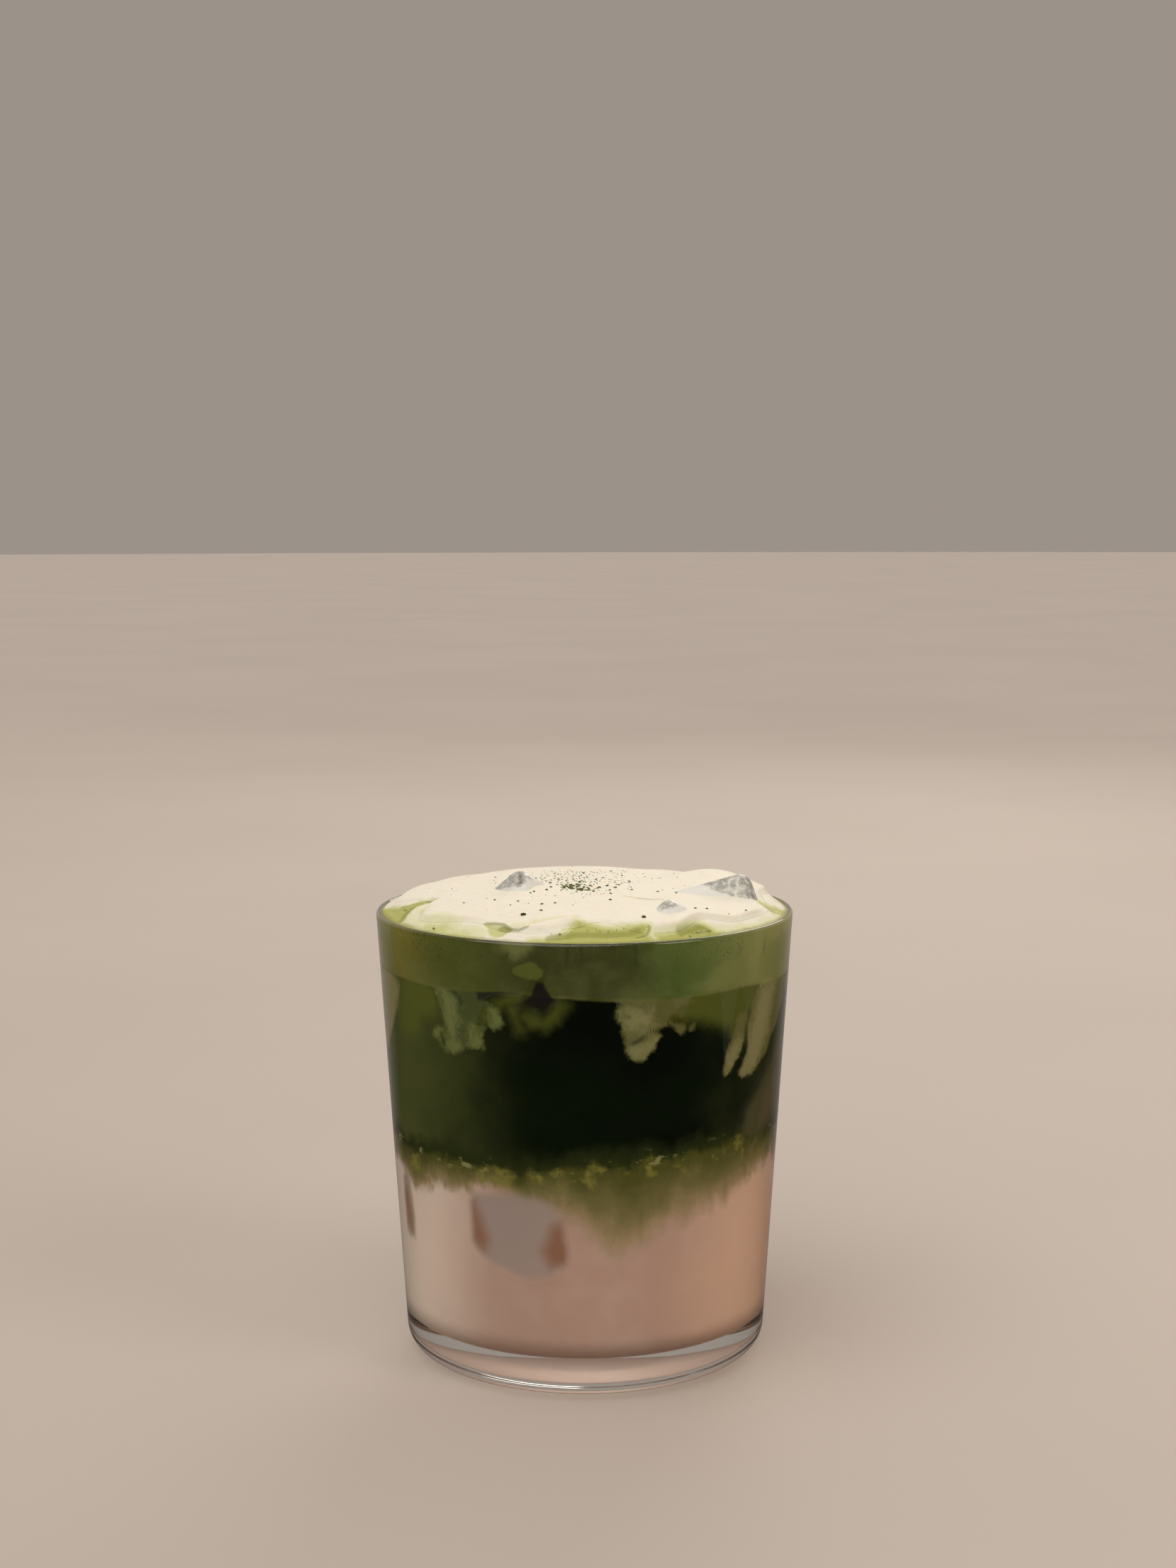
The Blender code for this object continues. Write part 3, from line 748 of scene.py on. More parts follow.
CREASES = (  # thin olive lines along the folds: points in mm
    ((-38.0, -8.8), (-36.7, -9.7), (-34.5, -9.0), (-32.9, -9.1), (-31.0, -10.9)),
    ((-19.7, -32.6), (-17.4, -33.5), (-15.9, -34.6), (-15.0, -36.1), (-14.2, -36.9), (-12.8, -37.6),
     (-11.0, -37.5)),
    ((10.2, -39.5), (11.2, -38.9), (12.3, -38.2), (12.9, -36.8), (12.5, -36.4)),
    ((11.0, -14.9), (14.2, -17.3), (15.9, -17.6)),
    ((21.0, 33.0), (27.0, 29.5), (31.5, 25.0), (30.4, 21.0)),
    ((-17.0, 37.0), (-22.0, 33.0), (-27.6, 28.4), (-26.0, 25.0)),
)
FAINT_LINE = ((8.2, -12.6), (11.0, -14.6), (14.2, -17.2), (15.9, -17.5))


def cap_radius(angle):
    """The radius of the white foam's edge, drawn in at each bay."""
    return CAP_RADIUS - sum(depth * window(angle, centre, half) for centre, half, depth in BAYS)


def foam_body(x, y):
    """The height of the foam's broad mound: a flat top, a rounded shoulder and a low crown."""
    share = np.minimum(1.0, np.hypot(x, y) / float(wall_radius(FOAM_EDGE_HEIGHT)))
    shoulder = SHOULDER_RISE * (1 - share**SHOULDER_POWER)
    return FOAM_EDGE_HEIGHT + shoulder + CROWN_RISE * (1 - share**2)


def foam_surface(x, y):
    """The height of the foam's top with its swells, which end before the wall."""
    share = np.minimum(1.0, np.hypot(x, y) / float(wall_radius(FOAM_EDGE_HEIGHT)))
    height = foam_body(x, y)
    for centre_x, centre_y, spread, rise in SWELLS:
        away = np.hypot(x - centre_x, y - centre_y) / spread
        height = height + rise * np.exp(-away * away / 2) * (1 - share**8)
    return height


def greenness(x, y):
    """How green the foam's top is at a point in mm, from 0, white foam, to 1, open froth."""
    green = np.zeros(np.shape(x))
    for strength, softness, outline in OPEN_FROTH:
        share = np.clip(0.5 + depth_in_outline(x, y, outline) / (3 * softness), 0, 1)
        green = np.maximum(green, strength * share)
    return green


def add_top_fields(piece):
    """The fields that say how white foam and green froth lie on top."""
    points = points_of(piece)
    x, y = points[:, 0] * 1000, points[:, 1] * 1000
    add_field(piece, "green", greenness(x, y))
    deep = [np.exp(-((distance_to_line(x, y, line) / width) ** 2)) for width, line in DEEP_FROTH]
    add_field(piece, "deep", np.max(deep, axis=0))
    add_field(piece, "crease", np.min([distance_to_line(x, y, line) for line in CREASES], axis=0))
    add_field(piece, "faint", distance_to_line(x, y, FAINT_LINE))
    add_field(piece, "inward", wall_radius(points[:, 2]) * 1000 - np.hypot(x, y))


FOAM_WHITE = paint(235, 230, 214)
FOAM_SHADE = paint(206, 202, 178)
FOAM_TINTED = paint(222, 221, 184)
FROTH_PALE = paint(198, 201, 140)
FROTH_GREEN = paint(172, 174, 92)
FROTH_DEEP = paint(132, 136, 56)
CREASE_OLIVE = paint(116, 120, 44)


def top_colour(look):
    """White foam, tinted by the froth beside it, then open froth with deeper green and creases."""
    green = look.stray(look.field("green"), 0.80, 0.005, detail=6.0, rough=0.68, lump=0.5)
    stops = ((0.06, FOAM_WHITE), (0.34, FOAM_TINTED), (0.64, FROTH_PALE), (1.00, FROTH_GREEN))
    colour = look.ramp(green, 0, 1, stops)
    airy = look.step(look.noise(0.0018, detail=7.0, rough=0.75, lump=0.6), -0.05, 0.30)
    colour = look.tint(colour, airy, 0.35, FOAM_SHADE)
    deep = look.stray(look.field("deep"), 0.7, 0.004, detail=4.0)
    colour = look.tint(colour, look.step(deep, 0.15, 0.9), 0.6, FROTH_DEEP)
    colour = look.tint(colour, look.step(look.field("faint"), 1.0, 0.1), 0.35, FROTH_GREEN)
    crease = look.stray(look.field("crease"), 0.4, 0.003)
    colour = look.tint(colour, look.step(crease, 0.5, 0.1), 0.55, CREASE_OLIVE)
    edge = look.step(look.stray(look.field("inward"), 1.6, 0.008), 0.9, 0.1)
    return look.tint(colour, edge, 0.55, FROTH_DEEP)


FROTH_STEPS = 600
RING = 0.8  # the share of the unit section where the froth's open ring begins
CAP_LAP = 0.0010  # how far the white foam lies over the froth
CAP_DEPTH = 0.0013
FROTH_TUCK = 0.0012  # how far the froth's inner edge ducks under the white foam
FROTH_DIP = 0.0006  # how much lower open froth lies than white foam
below = [(share, 0.0) for share in (0.0, 0.4, 0.7, 0.78, 0.86, 0.93)]
sides = [(1.0, level) for level in np.linspace(0.0, 1.0, 64)]
ring = [(share, 2.0) for share in np.linspace(1.0, RING, 40)[1:]]
bed = [(share * RING, 3.0) for share in (0.98, 0.8, 0.5, 0.0)]
froth = spin_round("froth", below + sides + ring + bed, FROTH_STEPS)


def dip(x, y):
    """How far open froth lies below the white foam, fading out at the wall."""
    to_wall = np.clip((float(wall_radius(FOAM_EDGE_HEIGHT)) - np.hypot(x, y)) / 0.002, 0, 1)
    return FROTH_DIP * greenness(x * 1000, y * 1000) * to_wall


def place_froth(share, level, angle):
    outer = float(wall_radius(FOAM_EDGE_HEIGHT))
    inner = cap_radius(angle) - CAP_LAP
    low = matcha_surface(share, angle)
    side_height = low + (FOAM_EDGE_HEIGHT - low) * level
    ring_radius = inner + (outer - inner) * (share - RING) / (1 - RING)
    x, y = around(ring_radius, angle)
    tuck = FROTH_TUCK * np.clip(1 - (ring_radius - inner) / CAP_LAP, 0, 1)
    ring_height = foam_surface(x, y) - tuck - dip(x, y)
    bed_radius = share / RING * inner
    bed_height = foam_body(*around(bed_radius, angle)) - CAP_DEPTH - FROTH_DIP
    parts = [level == 3, level == 2]
    radius = np.select(parts, [bed_radius, ring_radius], share * wall_radius(side_height))
    return radius, np.select(parts, [bed_height, ring_height], side_height)


shape(froth, place_froth)
add_seam_fields(froth)
add_froth_fields(froth)
add_top_fields(froth)

green_froth = Finish("green froth")
top = green_froth.step(green_froth.field("inward"), 0.02, 0.12)
both = green_froth.mix(top, drink_side(green_froth), top_colour(green_froth))
green_froth.set(Base_Color=both, Roughness=0.55, Specular_IOR_Level=0.25)
green_froth.bump(green_froth.noise(0.0014, detail=3.0), 0.00008)
finish_piece(froth, green_froth, "green_froth", "green_froth")

# The white foam is a soft cap of milk foam on the froth. Its folds are shallow, it heaps up
# where it meets the ice, and the froth tints it green where it is thin.
CAP_PROUD = 0.0003
EDGE_ROUNDING = 0.0012
UNEVENNESS = 0.00010
CAP_EDGE = 0.0008  # the height of the cap's upright edge
FOLDS = (  # ridges of thicker foam: half width and height in mm, then points in mm
    (1.6, 0.55, ((-15.5, -38.6), (-13.0, -38.8), (-10.3, -38.4), (-7.5, -37.4), (-4.7, -35.8),
     (-2.7, -34.4))),
    (2.6, 0.40, ((-34.0, -18.0), (-31.0, -22.5), (-26.0, -27.5), (-21.0, -31.0))),
    (3.0, 0.35, ((-28.0, -12.0), (-22.0, -20.0), (-12.0, -25.0), (-2.0, -27.0))),
    (1.8, 0.40, ((14.0, -35.6), (18.0, -34.0), (21.0, -31.0))),
    (2.2, 0.40, ((25.0, -29.0), (31.0, -25.0), (36.0, -18.0))),
    (2.0, 0.40, ((37.0, -5.0), (39.5, 0.0), (38.5, 6.0))),
    (4.0, 0.35, ((-30.0, 4.0), (-24.0, 14.0), (-14.0, 20.0))),
    (4.0, 0.35, ((-6.0, 22.0), (6.0, 25.0), (18.0, 20.0))),
    (2.6, 0.40, ((-16.0, 34.0), (-4.0, 37.0), (10.0, 36.5))),
)
HEAPS = (  # foam piled against the ice, or melted back from it: place, spread and height in mm
    (-8.6, -7.6, 3.0, 0.4),
    (-14.0, -12.0, 3.0, 0.3),
    (27.0, -12.0, 4.5, -0.8),
    (22.4, -29.0, 2.4, 0.4),
)

lobes = 1 - (1 - np.linspace(0, 1, 92)) ** 1.25
top = [(share, 2.0) for share in lobes]
under = [(share, 0.0) for share in (0.985, 0.9, 0.7, 0.4, 0.0)]
cap = spin_round("milk_foam", top + [(1.0, 1.0)] + under, FROTH_STEPS)


def foam_relief(x, y):
    """The height of the foam's folds and heaps, and a faint unevenness between them."""
    across = np.sin(x * 310 + 1.7 * np.sin(y * 240))
    along = np.sin(y * 280 + 1.9 * np.sin(x * 200))
    height = UNEVENNESS * (across + along)
    for width, rise, line in FOLDS:
        away = distance_to_line(x * 1000, y * 1000, line) / width
        height = height + rise / 1000 * np.exp(-away * away)
    for centre_x, centre_y, spread, rise in HEAPS:
        away = np.hypot(x * 1000 - centre_x, y * 1000 - centre_y) / spread
        height = height + rise / 1000 * np.exp(-away * away)
    return height - dip(x, y)


def place_cap(share, level, angle):
    edge = cap_radius(angle)
    radius = share * edge
    x, y = around(radius, angle)
    inward = np.clip((edge - radius) / EDGE_ROUNDING, 0, 1)
    proud = CAP_PROUD * inward + foam_relief(x, y) + dip(x, y)
    crown = foam_surface(x, y) - dip(x, y) + 0.00006 + proud * inward * inward * (3 - 2 * inward)
    parts = [level == 2, level == 1]
    under = foam_body(x, y) - CAP_DEPTH - FROTH_DIP
    return radius, np.select(parts, [crown, crown - CAP_EDGE], under)


shape(cap, place_cap)
add_top_fields(cap)

white_foam = Finish("white milk foam")
fine = white_foam.stray(white_foam.noise(0.0012, detail=3.0), 2.0, 0.006)
white_foam.set(
    Base_Color=top_colour(white_foam),
    Roughness=0.6,
    Specular_IOR_Level=0.25,
    Subsurface_Weight=0.25,
    Subsurface_Scale=0.002,
)
white_foam.bump(fine, 0.00016)
finish_piece(cap, white_foam, "white_foam", "white_foam")

# Ice lies sunk in the drink, right against the glass. Each block is pulled onto the wall, and the
# drink clouds over its edges, so only its face shows, grey with brown lenses.
SUNK_ICE = {  # outline in degrees and mm, lenses, core colour, lens colour, softness in mm
    "sunk_ice_front": (
        ((-37.4, 31), (-37.4, 40), (-35, 42.6), (-24, 43.4), (-17, 43.2), (-12, 42.6), (-8, 41),
         (-5.4, 38.8), (-4.2, 35), (-3.2, 31), (-4, 27.6), (-9.7, 25), (-16.3, 24.2), (-23.1, 25),
         (-30.2, 26.4), (-35.6, 29)),
        (((-36.4, 38), (-35, 40), (-32.6, 36), (-30.6, 32), (-32.6, 29.6), (-35.4, 32)),
         ((-9.5, 36), (-6.2, 36.6), (-4.6, 31), (-5.4, 28.4), (-10, 28), (-12, 31))),
        (166, 149, 142),
        (142, 98, 72),
        2.4,
    ),
    "sunk_ice_left": (
        ((-73, 28), (-73, 40), (-68, 43), (-64, 40), (-62.5, 32), (-64, 26.5), (-70, 26)),
        (((-71, 36), (-69, 37), (-66.6, 32), (-66.8, 29), (-69.4, 30)),),
        (172, 150, 134),
        (138, 104, 84),
        2.0,
    ),
    "sunk_ice_right": (
        ((50, 50), (52, 57), (60, 62), (70, 68), (76, 70), (80, 64), (80, 52), (70, 49), (60, 48)),
        (((62, 52), (64, 58), (72, 62), (74, 54)),),
        (84, 80, 48),
        (104, 92, 62),
        3.0,
    ),
    "sunk_ice_tip": (
        ((-12.8, 86.2), (-10.9, 86.2), (-9.8, 84.8), (-7.6, 82.4), (-11.8, 80.5), (-14.8, 81.4),
         (-18, 81.2), (-16.4, 82.2), (-14.4, 83.6)),
        (((-16, 81.6), (-12, 83), (-9, 82.4), (-12, 81.2)),),
        (14, 9, 11),
        (24, 18, 20),
        0.5,
    ),
    "sunk_ice_back": (
        ((146, 26), (144, 40), (152, 45), (166, 44), (172, 36), (168, 26), (156, 23)),
        (((149, 30), (148, 40), (153, 42), (155, 32)),),
        (142, 124, 113),
        (134, 92, 68),
        1.8,
    ),
    "sunk_ice_back_right": (
        ((96, 52), (98, 66), (108, 71), (118, 66), (120, 57), (110, 51)),
        (((102, 55), (102, 66), (110, 66), (112, 56)),),
        (78, 76, 46),
        (98, 88, 56),
        3.0,
    ),
}
SUNK_DEPTH = 0.0060
SUNK_PROUD = 0.00005  # how far a shown face lies outside the drink's own side


def rounded_block(name, size, bevel, segments, cuts):
    """A closed block with rounded edges, cut fine enough to be bent and coloured."""
    bpy.ops.object.select_all(action="DESELECT")
    bpy.ops.mesh.primitive_cube_add(size=1.0)
    block = bpy.context.object
    block.name = block.data.name = name
    bpy.ops.object.mode_set(mode="EDIT")
    bpy.ops.transform.resize(value=size)
    bpy.ops.mesh.bevel(offset=bevel, segments=segments, profile=0.5, affect="EDGES")
    bpy.ops.mesh.select_all(action="SELECT")
    bpy.ops.mesh.subdivide(number_cuts=cuts)
    bpy.ops.object.mode_set(mode="OBJECT")
    return block


for name, (outline, lenses, core, lens, softness) in SUNK_ICE.items():
    angles, heights = zip(*outline)
    middle_angle, middle = (min(angles) + max(angles)) / 2, (min(heights) + max(heights)) / 2000
    radius = float(wall_radius(middle))
    width = math.radians(max(angles) - min(angles) + 8) * radius
    height = (max(heights) - min(heights) + 6) / 1000
    block = rounded_block(name, (width, SUNK_DEPTH, height), 0.0006, 2, 28)
    points = points_of(block)
    levels = middle + points[:, 2]
    along = middle_angle + np.degrees(points[:, 0] / radius)
    shown = on_wall(along, levels, outline, depth_in_outline)
    proud = SUNK_PROUD - 0.00010 * np.clip(-0.5 - shown, 0, 2.5)
    outwards = wall_radius(levels) + proud - (points[:, 1] + SUNK_DEPTH / 2)
    move_points(block, np.stack((*around(outwards, along), levels), axis=1))
    add_field(block, "shown", shown)
    add_field(block, "lens", deepest(along, levels, lenses))
    add_seam_fields(block)
    add_froth_fields(block)

    sunk = Finish(name.replace("_", " "))
    inside = sunk.stray(sunk.field("lens"), 1.6, 0.008)
    colour = sunk.tint(paint(*core), sunk.step(inside, -2.4, 1.6), 0.9, paint(*lens))
    shown = sunk.stray(sunk.field("shown"), 1.6, 0.008)
    colour = sunk.tint(drink_side(sunk), sunk.step(shown, -0.2, softness), 0.94, colour)
    sunk.set(Base_Color=colour, Roughness=0.4, Specular_IOR_Level=0.1)
    sunk.bump(sunk.noise(0.003), 0.00003)
    finish_piece(block, sunk, "ice")

# Three ice cubes stand out of the foam, melted round at every edge. Foam clings to them and
# leaves their upper edges bare and grey.
ICE_BEVEL = 0.0028
ICE = {  # CAD node: edge lengths, top corner, turns, where foam clings most and how strongly
    "ice_back_left": (
        (0.020, 0.020, 0.020), (-0.0134, -0.0060, 0.1026), (42, 34, 4), (0.9, -0.3, -0.35), 0.36
    ),
    "ice_back_right": (
        (0.020, 0.016, 0.013), (0.0325, -0.0050, 0.1017), (-16, -28, 0), (-0.9, 0.0, -0.35), -0.22
    ),
    "ice_front_right": (
        (0.014, 0.013, 0.014), (0.0172, -0.0264, 0.0998), (45, 33, -32), (0.5, -0.2, -0.8), 0.24
    ),
}


def ice_block(name, size, top, rotation):
    """A turned cube whose highest rounded corner touches a point. It keeps how near edges are."""
    block = rounded_block(name, size, ICE_BEVEL, 4, 5)
    points = points_of(block)
    shares = np.sort(np.abs(points) / (np.array(size) / 2), axis=1)
    add_field(block, "edge", shares[:, 1])
    turned = Matrix.Identity(3)
    for axis, degrees in zip("YXZ", rotation):
        turned = Matrix.Rotation(math.radians(degrees), 3, axis) @ turned
    inner = [length / 2 - ICE_BEVEL for length in size]
    corner = Vector([math.copysign(inner[i], turned[2][i]) for i in range(3)])
    centre = Vector(top) - turned @ corner - Vector((0.0, 0.0, ICE_BEVEL))
    points = points @ np.array(turned).T + np.array(centre)
    move_points(block, points)
    return block


# The cubes are opaque. Their grey, and the darker band along their edges, are painted for the dark
# drink and room that clear ice shows by refraction.
ICE_REFRACTION_GREY = paint(156, 158, 152)
ICE_EDGE_REFRACTION_DARK = paint(98, 96, 82)
ICE_WHITE = paint(222, 219, 209)
FOAM_COOL = paint(216, 220, 222)

bare_ice = Finish("wet ice")
mottle = bare_ice.step(bare_ice.noise(0.0014, detail=5.0, rough=0.65, lump=0.3), -0.10, 0.16)
colour = bare_ice.mix(mottle, ICE_REFRACTION_GREY, ICE_WHITE)
edge = bare_ice.stray(bare_ice.field("edge"), 0.2, 0.003)
colour = bare_ice.mix(bare_ice.step(edge, 0.84, 0.95), colour, ICE_EDGE_REFRACTION_DARK)
coat = bare_ice.stray(bare_ice.field("coat"), 1.3, 0.0035, detail=4.0, lump=0.5)
coat = bare_ice.step(coat, 0.35, 0.65)
cling_foam = bare_ice.mix(0.55, top_colour(bare_ice), FOAM_COOL)
colour = bare_ice.mix(coat, colour, cling_foam)
bare_ice.set(
    Base_Color=colour,
    Roughness=bare_ice.sum(bare_ice.times(coat, 0.5), 0.08),
    IOR=1.31,
    Coat_Weight=0.3,
    Coat_Roughness=0.04,
)
bare_ice.bump(bare_ice.noise(0.002, detail=3.0), 0.00015)
for name, (size, top, rotation, cling, amount) in ICE.items():
    block = ice_block(name.replace("ice", "ice_cube"), size, top, rotation)
    points = points_of(block)
    sunk = (points[:, 2] - foam_surface(points[:, 0], points[:, 1])) * 1000
    towards = (points - np.array(top)) @ (np.array(cling) / np.linalg.norm(cling)) * 1000
    low = np.clip(1.3 - sunk, 0, 1.6) * 0.3
    add_field(block, "coat", amount + towards * 0.12 - np.clip(sunk - 1.0, -1, 3) * 0.12 + low)
    add_top_fields(block)
    finish_piece(block, bare_ice, "ice", name)

# Matcha powder is sifted on the foam, thick in the middle and thinning out. It is made of one
# rough grain, copied at many sizes.
grain_draw = random.Random(11)
GRAIN_SPREADS = (  # grains, middle in mm, spreads across and along, least and greatest width in mm
    (64, -3.4, -4.0, 3.0, 2.1, 0.42, 0.95),
    (150, -2.5, 0.5, 4.2, 5.0, 0.25, 0.60),
    (170, 1.0, 8.0, 8.0, 8.0, 0.22, 0.50),
    (60, -5.0, -4.0, 17.0, 12.0, 0.22, 0.50),
)
LARGE_GRAINS = (  # x, y and width in mm
    (-7.8, -9.9, 0.60), (-7.0, -7.6, 0.60), (-11.1, -12.7, 0.55), (-10.4, -11.5, 0.60),
    (-18.3, -17.8, 0.60), (-13.5, -18.5, 0.60), (-8.6, -21.0, 0.75), (-5.9, -20.3, 0.60),
    (-8.6, -28.7, 0.70), (-12.1, -31.3, 1.20), (-24.5, -19.3, 0.45), (-14.9, -23.6, 0.45),
    (1.9, -7.2, 0.60), (5.3, -6.2, 0.60), (5.3, -17.5, 0.70), (5.5, -10.2, 0.60),
    (9.9, -6.1, 0.60), (15.3, -6.8, 0.60), (19.1, -8.1, 0.60), (9.6, 3.7, 0.55), (5.8, 18.8, 0.55),
    (8.1, 12.0, 0.55), (3.9, 5.6, 0.55), (7.3, -1.3, 0.55), (22.3, -25.3, 0.60),
    (24.7, -23.9, 0.60), (32.8, -20.4, 0.60), (29.1, -24.8, 0.45), (11.8, -32.9, 1.00),
    (-30.0, -29.2, 0.55),
)
ICE_CLEARANCE = 0.0085  # from a cube's top corner to the nearest strewn grain
POWDER_REACH = 0.036


def near_ice(x, y):
    return any(math.hypot(x - top[0], y - top[1]) < ICE_CLEARANCE for _, top, *_ in ICE.values())


def strew(name, places, flatness):
    """One rough grain, copied to each (x, y, width) in metres on the foam and joined."""
    bpy.ops.object.select_all(action="DESELECT")
    bpy.ops.mesh.primitive_ico_sphere_add(subdivisions=1, radius=0.5)
    grain = bpy.context.object
    for vertex in grain.data.vertices:
        vertex.co *= grain_draw.uniform(0.75, 1.1)
    grains = []
    for x, y, width in places:
        copy = grain.copy()
        copy.data = grain.data.copy()
        bpy.context.scene.collection.objects.link(copy)
        at = np.array([x]), np.array([y])
        height = float(foam_surface(*at)[0] + foam_relief(*at)[0]) + CAP_PROUD + width * 0.12
        narrow = width * grain_draw.uniform(0.6, 0.95)
        squash = Matrix.Diagonal((width, narrow, width * flatness, 1.0))
        turn = Matrix.Rotation(grain_draw.uniform(0, math.pi), 4, "Z")
        copy.data.transform(Matrix.Translation((x, y, height)) @ turn @ squash)
        add_field(copy, "tone", [grain_draw.random()] * len(copy.data.vertices))
        copy.select_set(True)
        grains.append(copy)
    bpy.data.objects.remove(grain, do_unlink=True)
    bpy.context.view_layer.objects.active = grains[0]
    bpy.ops.object.join()
    piece = bpy.context.object
    piece.name = piece.data.name = name
    return piece


places = [(x / 1000, y / 1000, width / 800) for x, y, width in LARGE_GRAINS]
for count, middle_x, middle_y, spread_x, spread_y, least, greatest in GRAIN_SPREADS:
    while count:
        x = grain_draw.gauss(middle_x, spread_x) / 1000
        y = grain_draw.gauss(middle_y, spread_y) / 1000
        if math.hypot(x, y) < POWDER_REACH and not near_ice(x, y):
            places.append((x, y, grain_draw.uniform(least, greatest) / 1000))
            count -= 1
powder = strew("matcha_powder", places, 0.6)
matcha_powder = Finish("matcha powder")
tone = matcha_powder.sum(matcha_powder.field("tone"), matcha_powder.noise(0.0004))
olive = matcha_powder.mix(tone, paint(56, 64, 22), paint(112, 118, 54))
matcha_powder.set(Base_Color=olive, Roughness=0.8, Specular_IOR_Level=0.2)
finish_piece(powder, matcha_powder, "matcha")

# Large wet bubbles have gathered in short runs in the open froth, most of them at the front right.
# They are thin shiny films of froth, made as rounded grains that sit on it.
BUBBLE_RUNS = (  # points in mm along which bubbles lie
    ((18.9, -37.1), (20.0, -37.0), (21.0, -35.8), (22.2, -35.1), (23.2, -34.0), (24.4, -33.6),
     (25.2, -32.7)),
    ((-6.0, -39.6), (-2.0, -38.6), (4.0, -38.2), (9.0, -37.6)),
    ((-37.0, -14.0), (-36.6, -11.0)),
    ((24.0, 32.0), (28.0, 29.0)),
)
places = []
for line in BUBBLE_RUNS:
    for (ax, ay), (bx, by) in zip(line, line[1:]):
        for _ in range(3):
            share, width = grain_draw.random(), grain_draw.uniform(0.25, 0.6)
            x = ax + (bx - ax) * share + grain_draw.uniform(-0.5, 0.5)
            y = ay + (by - ay) * share + grain_draw.uniform(-0.5, 0.5)
            places.append((x / 1000, y / 1000, width / 1000))
bubbles = strew("froth_bubbles", places, 0.8)
wet_bubble = Finish("wet bubble")
film = wet_bubble.mix(wet_bubble.field("tone"), FROTH_PALE, FROTH_DEEP)
wet_bubble.set(Base_Color=film, Roughness=0.06, Coat_Weight=0.6, Coat_Roughness=0.03)
finish_piece(bubbles, wet_bubble, "green_froth")

# The floor is plain and pale. The light is wide and soft from the left front, with a weak warm
# lamp at the right, and the room is dark behind the viewer, so that the glass stays clear.
bpy.ops.object.select_all(action="DESELECT")
bpy.ops.mesh.primitive_circle_add(vertices=96, radius=12.0, fill_type="TRIFAN")
floor = bpy.context.object
floor.name = "floor"
pale_floor = Finish("pale floor")
patches = pale_floor.step(pale_floor.noise(0.3), -0.2, 0.2)
floor_colour = pale_floor.mix(patches, paint(190, 180, 171), paint(186, 176, 167))
pale_floor.set(Base_Color=floor_colour, Roughness=0.7)
floor.data.materials.append(pale_floor.material)
floor.visible_glossy = False


def facing(aim):
    """The turn that points a lamp along a direction."""
    return Vector(aim).to_track_quat("-Z", "Y").to_euler()


def hang_lamp(name, kind, energy, colour, place, turn, **settings):
    """Adds a lamp at a place, turned from facing straight down."""
    lamp = bpy.data.lights.new(name, kind)
    lamp.energy = energy
    lamp.color = colour
    for key, value in settings.items():
        setattr(lamp, key, value)
    holder = bpy.data.objects.new(name, lamp)
    holder.location = place
    holder.rotation_euler = turn
    bpy.context.scene.collection.objects.link(holder)
    return holder


SUN_TURN = facing((0.28, 0.48, -0.83))
SUN_COLOUR = (1.0, 0.96, 0.91)
SUN_WIDTH = math.radians(70)
hang_lamp("wide daylight", "SUN", 2.0, SUN_COLOUR, (0, 0, 0), SUN_TURN, angle=SUN_WIDTH)
LAMPS = {  # place, watts and colour; each is half a metre wide and faces the glass
    "right": ((0.95, -0.60, 0.85), 4.0, (1.0, 0.88, 0.76)),
    "back": ((0.25, 1.0, 0.7), 2.0, (1.0, 0.94, 0.86)),
}
for name, (place, watts, colour) in LAMPS.items():
    turn = facing(Vector((0, 0, 0.06)) - Vector(place))
    hang_lamp(name, "AREA", watts, colour, place, turn, shape="SQUARE", size=0.5)

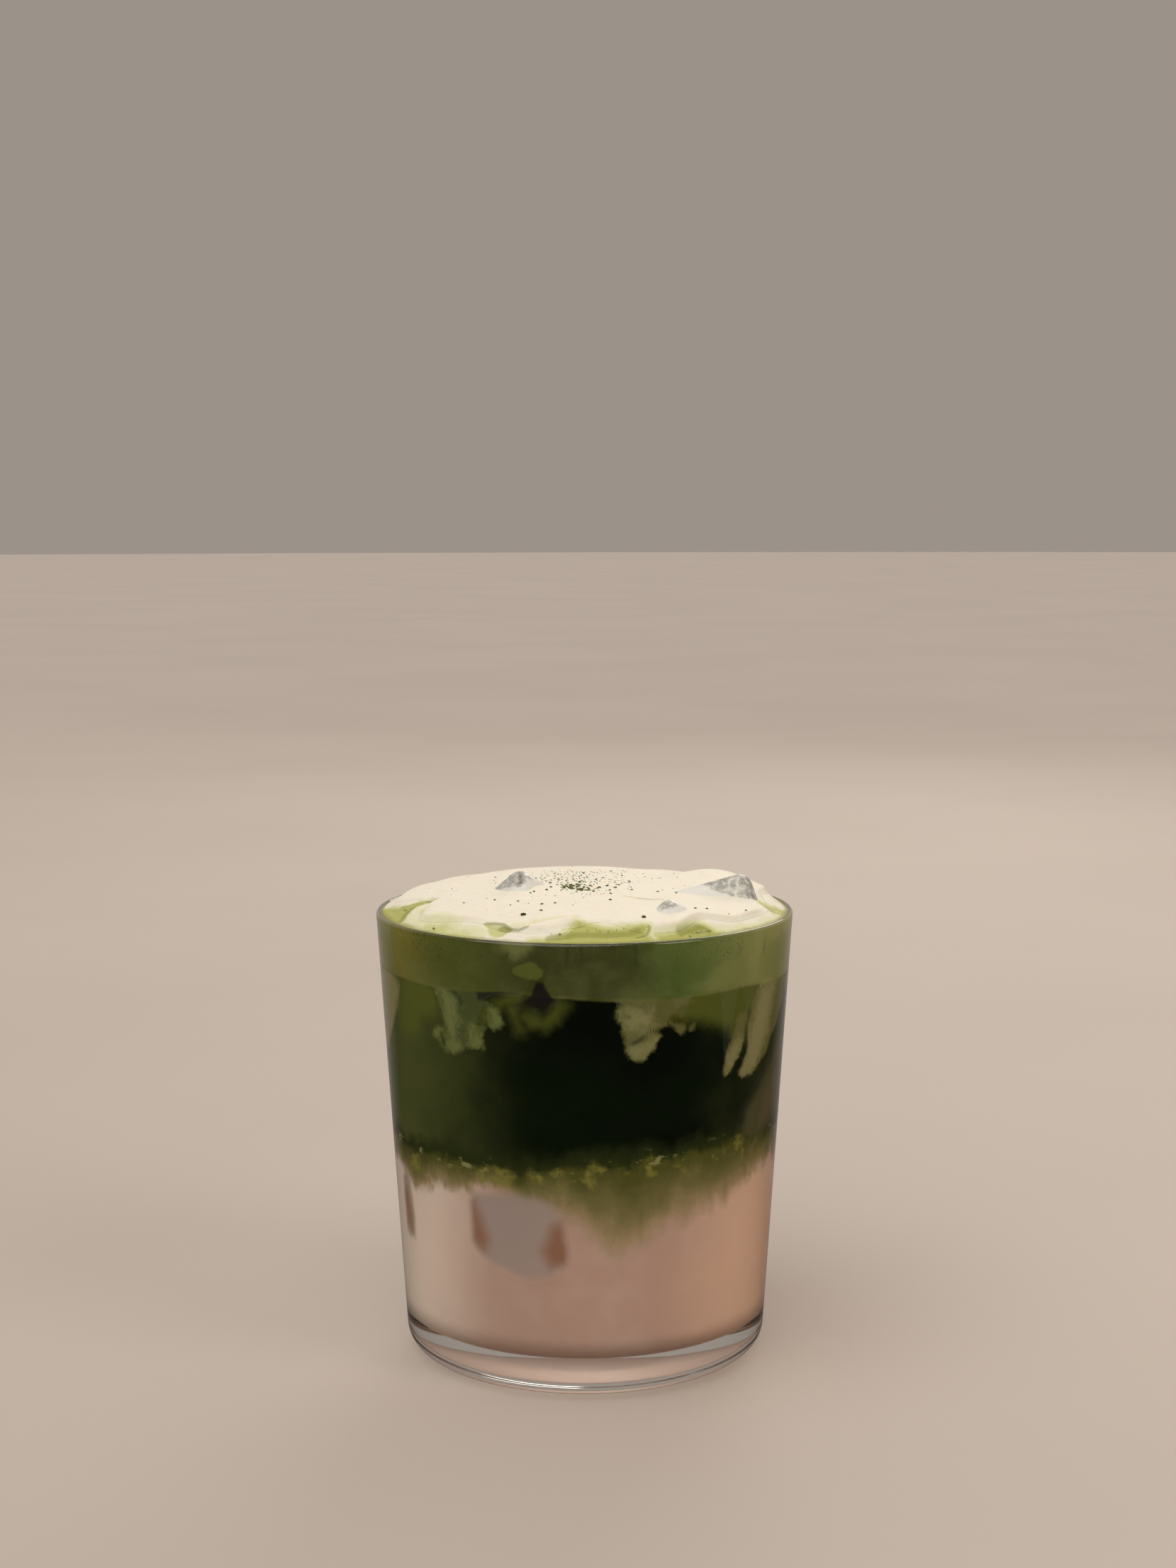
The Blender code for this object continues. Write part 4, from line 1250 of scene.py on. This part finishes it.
world = bpy.data.worlds.new("room")
bpy.context.scene.world = world
world.use_nodes = True
ROOM_SEEN = 0.33  # strength of the room's light where it is looked at, also through glass
ROOM_LOW, ROOM_HIGH = 0.03, 0.55  # its strength on the drink, from the horizon and from above
room = world.node_tree
direction = lay_node(room, "ShaderNodeTexCoord", {}, "Generated")
across = lay_node(room, "ShaderNodeSeparateXYZ", {0: direction}, "Y")
up = lay_node(room, "ShaderNodeSeparateXYZ", {0: direction}, "Z")
height = lay_node(room, "ShaderNodeMath", {0: across, 1: 0.8, 2: up}, operation="MULTIPLY_ADD")
limits = {"From Min": 0.3, "From Max": 0.8, "To Min": ROOM_LOW, "To Max": ROOM_HIGH}
strength = lay_node(room, "ShaderNodeMapRange", {"Value": height, **limits})
looked_at = lay_node(room, "ShaderNodeLightPath", {}, "Is Camera Ray")
through = lay_node(room, "ShaderNodeLightPath", {}, "Is Transmission Ray")
seen = lay_node(room, "ShaderNodeMath", {0: looked_at, 1: through}, operation="MAXIMUM")
strength = lay_node(room, "ShaderNodeMix", {0: seen, 2: strength, 3: ROOM_SEEN})
feed(room, room.nodes["Background"].inputs["Strength"], strength)
feed(room, room.nodes["Background"].inputs["Color"], (1.0, 0.87, 0.77, 1.0))

# A lamp in the hollow of the foot stands in for the light that milk and thick glass scatter.
# It faces up and can't be seen itself.
GLOW_COLOUR = (0.90, 1.0, 1.0)
GLOW_PLACE = (0, 0, 0.0005)
GLOW_TURN = (math.pi, 0, 0)
disc = {"shape": "DISK", "size": 0.046}
glow = hang_lamp("glow of the foot", "AREA", 0.034, GLOW_COLOUR, GLOW_PLACE, GLOW_TURN, **disc)
for sight in ("camera", "glossy", "transmission"):
    setattr(glow, "visible_" + sight, False)

# The camera stands a little above the rim and looks slightly down.
CAMERA_PLACE = (0.0008, -0.48995, 0.17565)
CAMERA_PITCH = 6.4555  # degrees downwards
CAMERA_ROLL = -0.1186
LENS = 53.765  # mm, for a 36 mm long side
view = bpy.data.cameras.new("camera")
view.sensor_fit = "AUTO"
view.sensor_width = 36.0
view.lens = LENS
view.clip_start = 0.01
camera = bpy.data.objects.new("camera", view)
camera.location = CAMERA_PLACE
tilt = Matrix.Rotation(math.radians(90 - CAMERA_PITCH), 3, "X")
camera.rotation_euler = (tilt @ Matrix.Rotation(math.radians(CAMERA_ROLL), 3, "Z")).to_euler()
bpy.context.scene.collection.objects.link(camera)
bpy.context.scene.camera = camera
bpy.context.scene.view_settings.view_transform = "Standard"
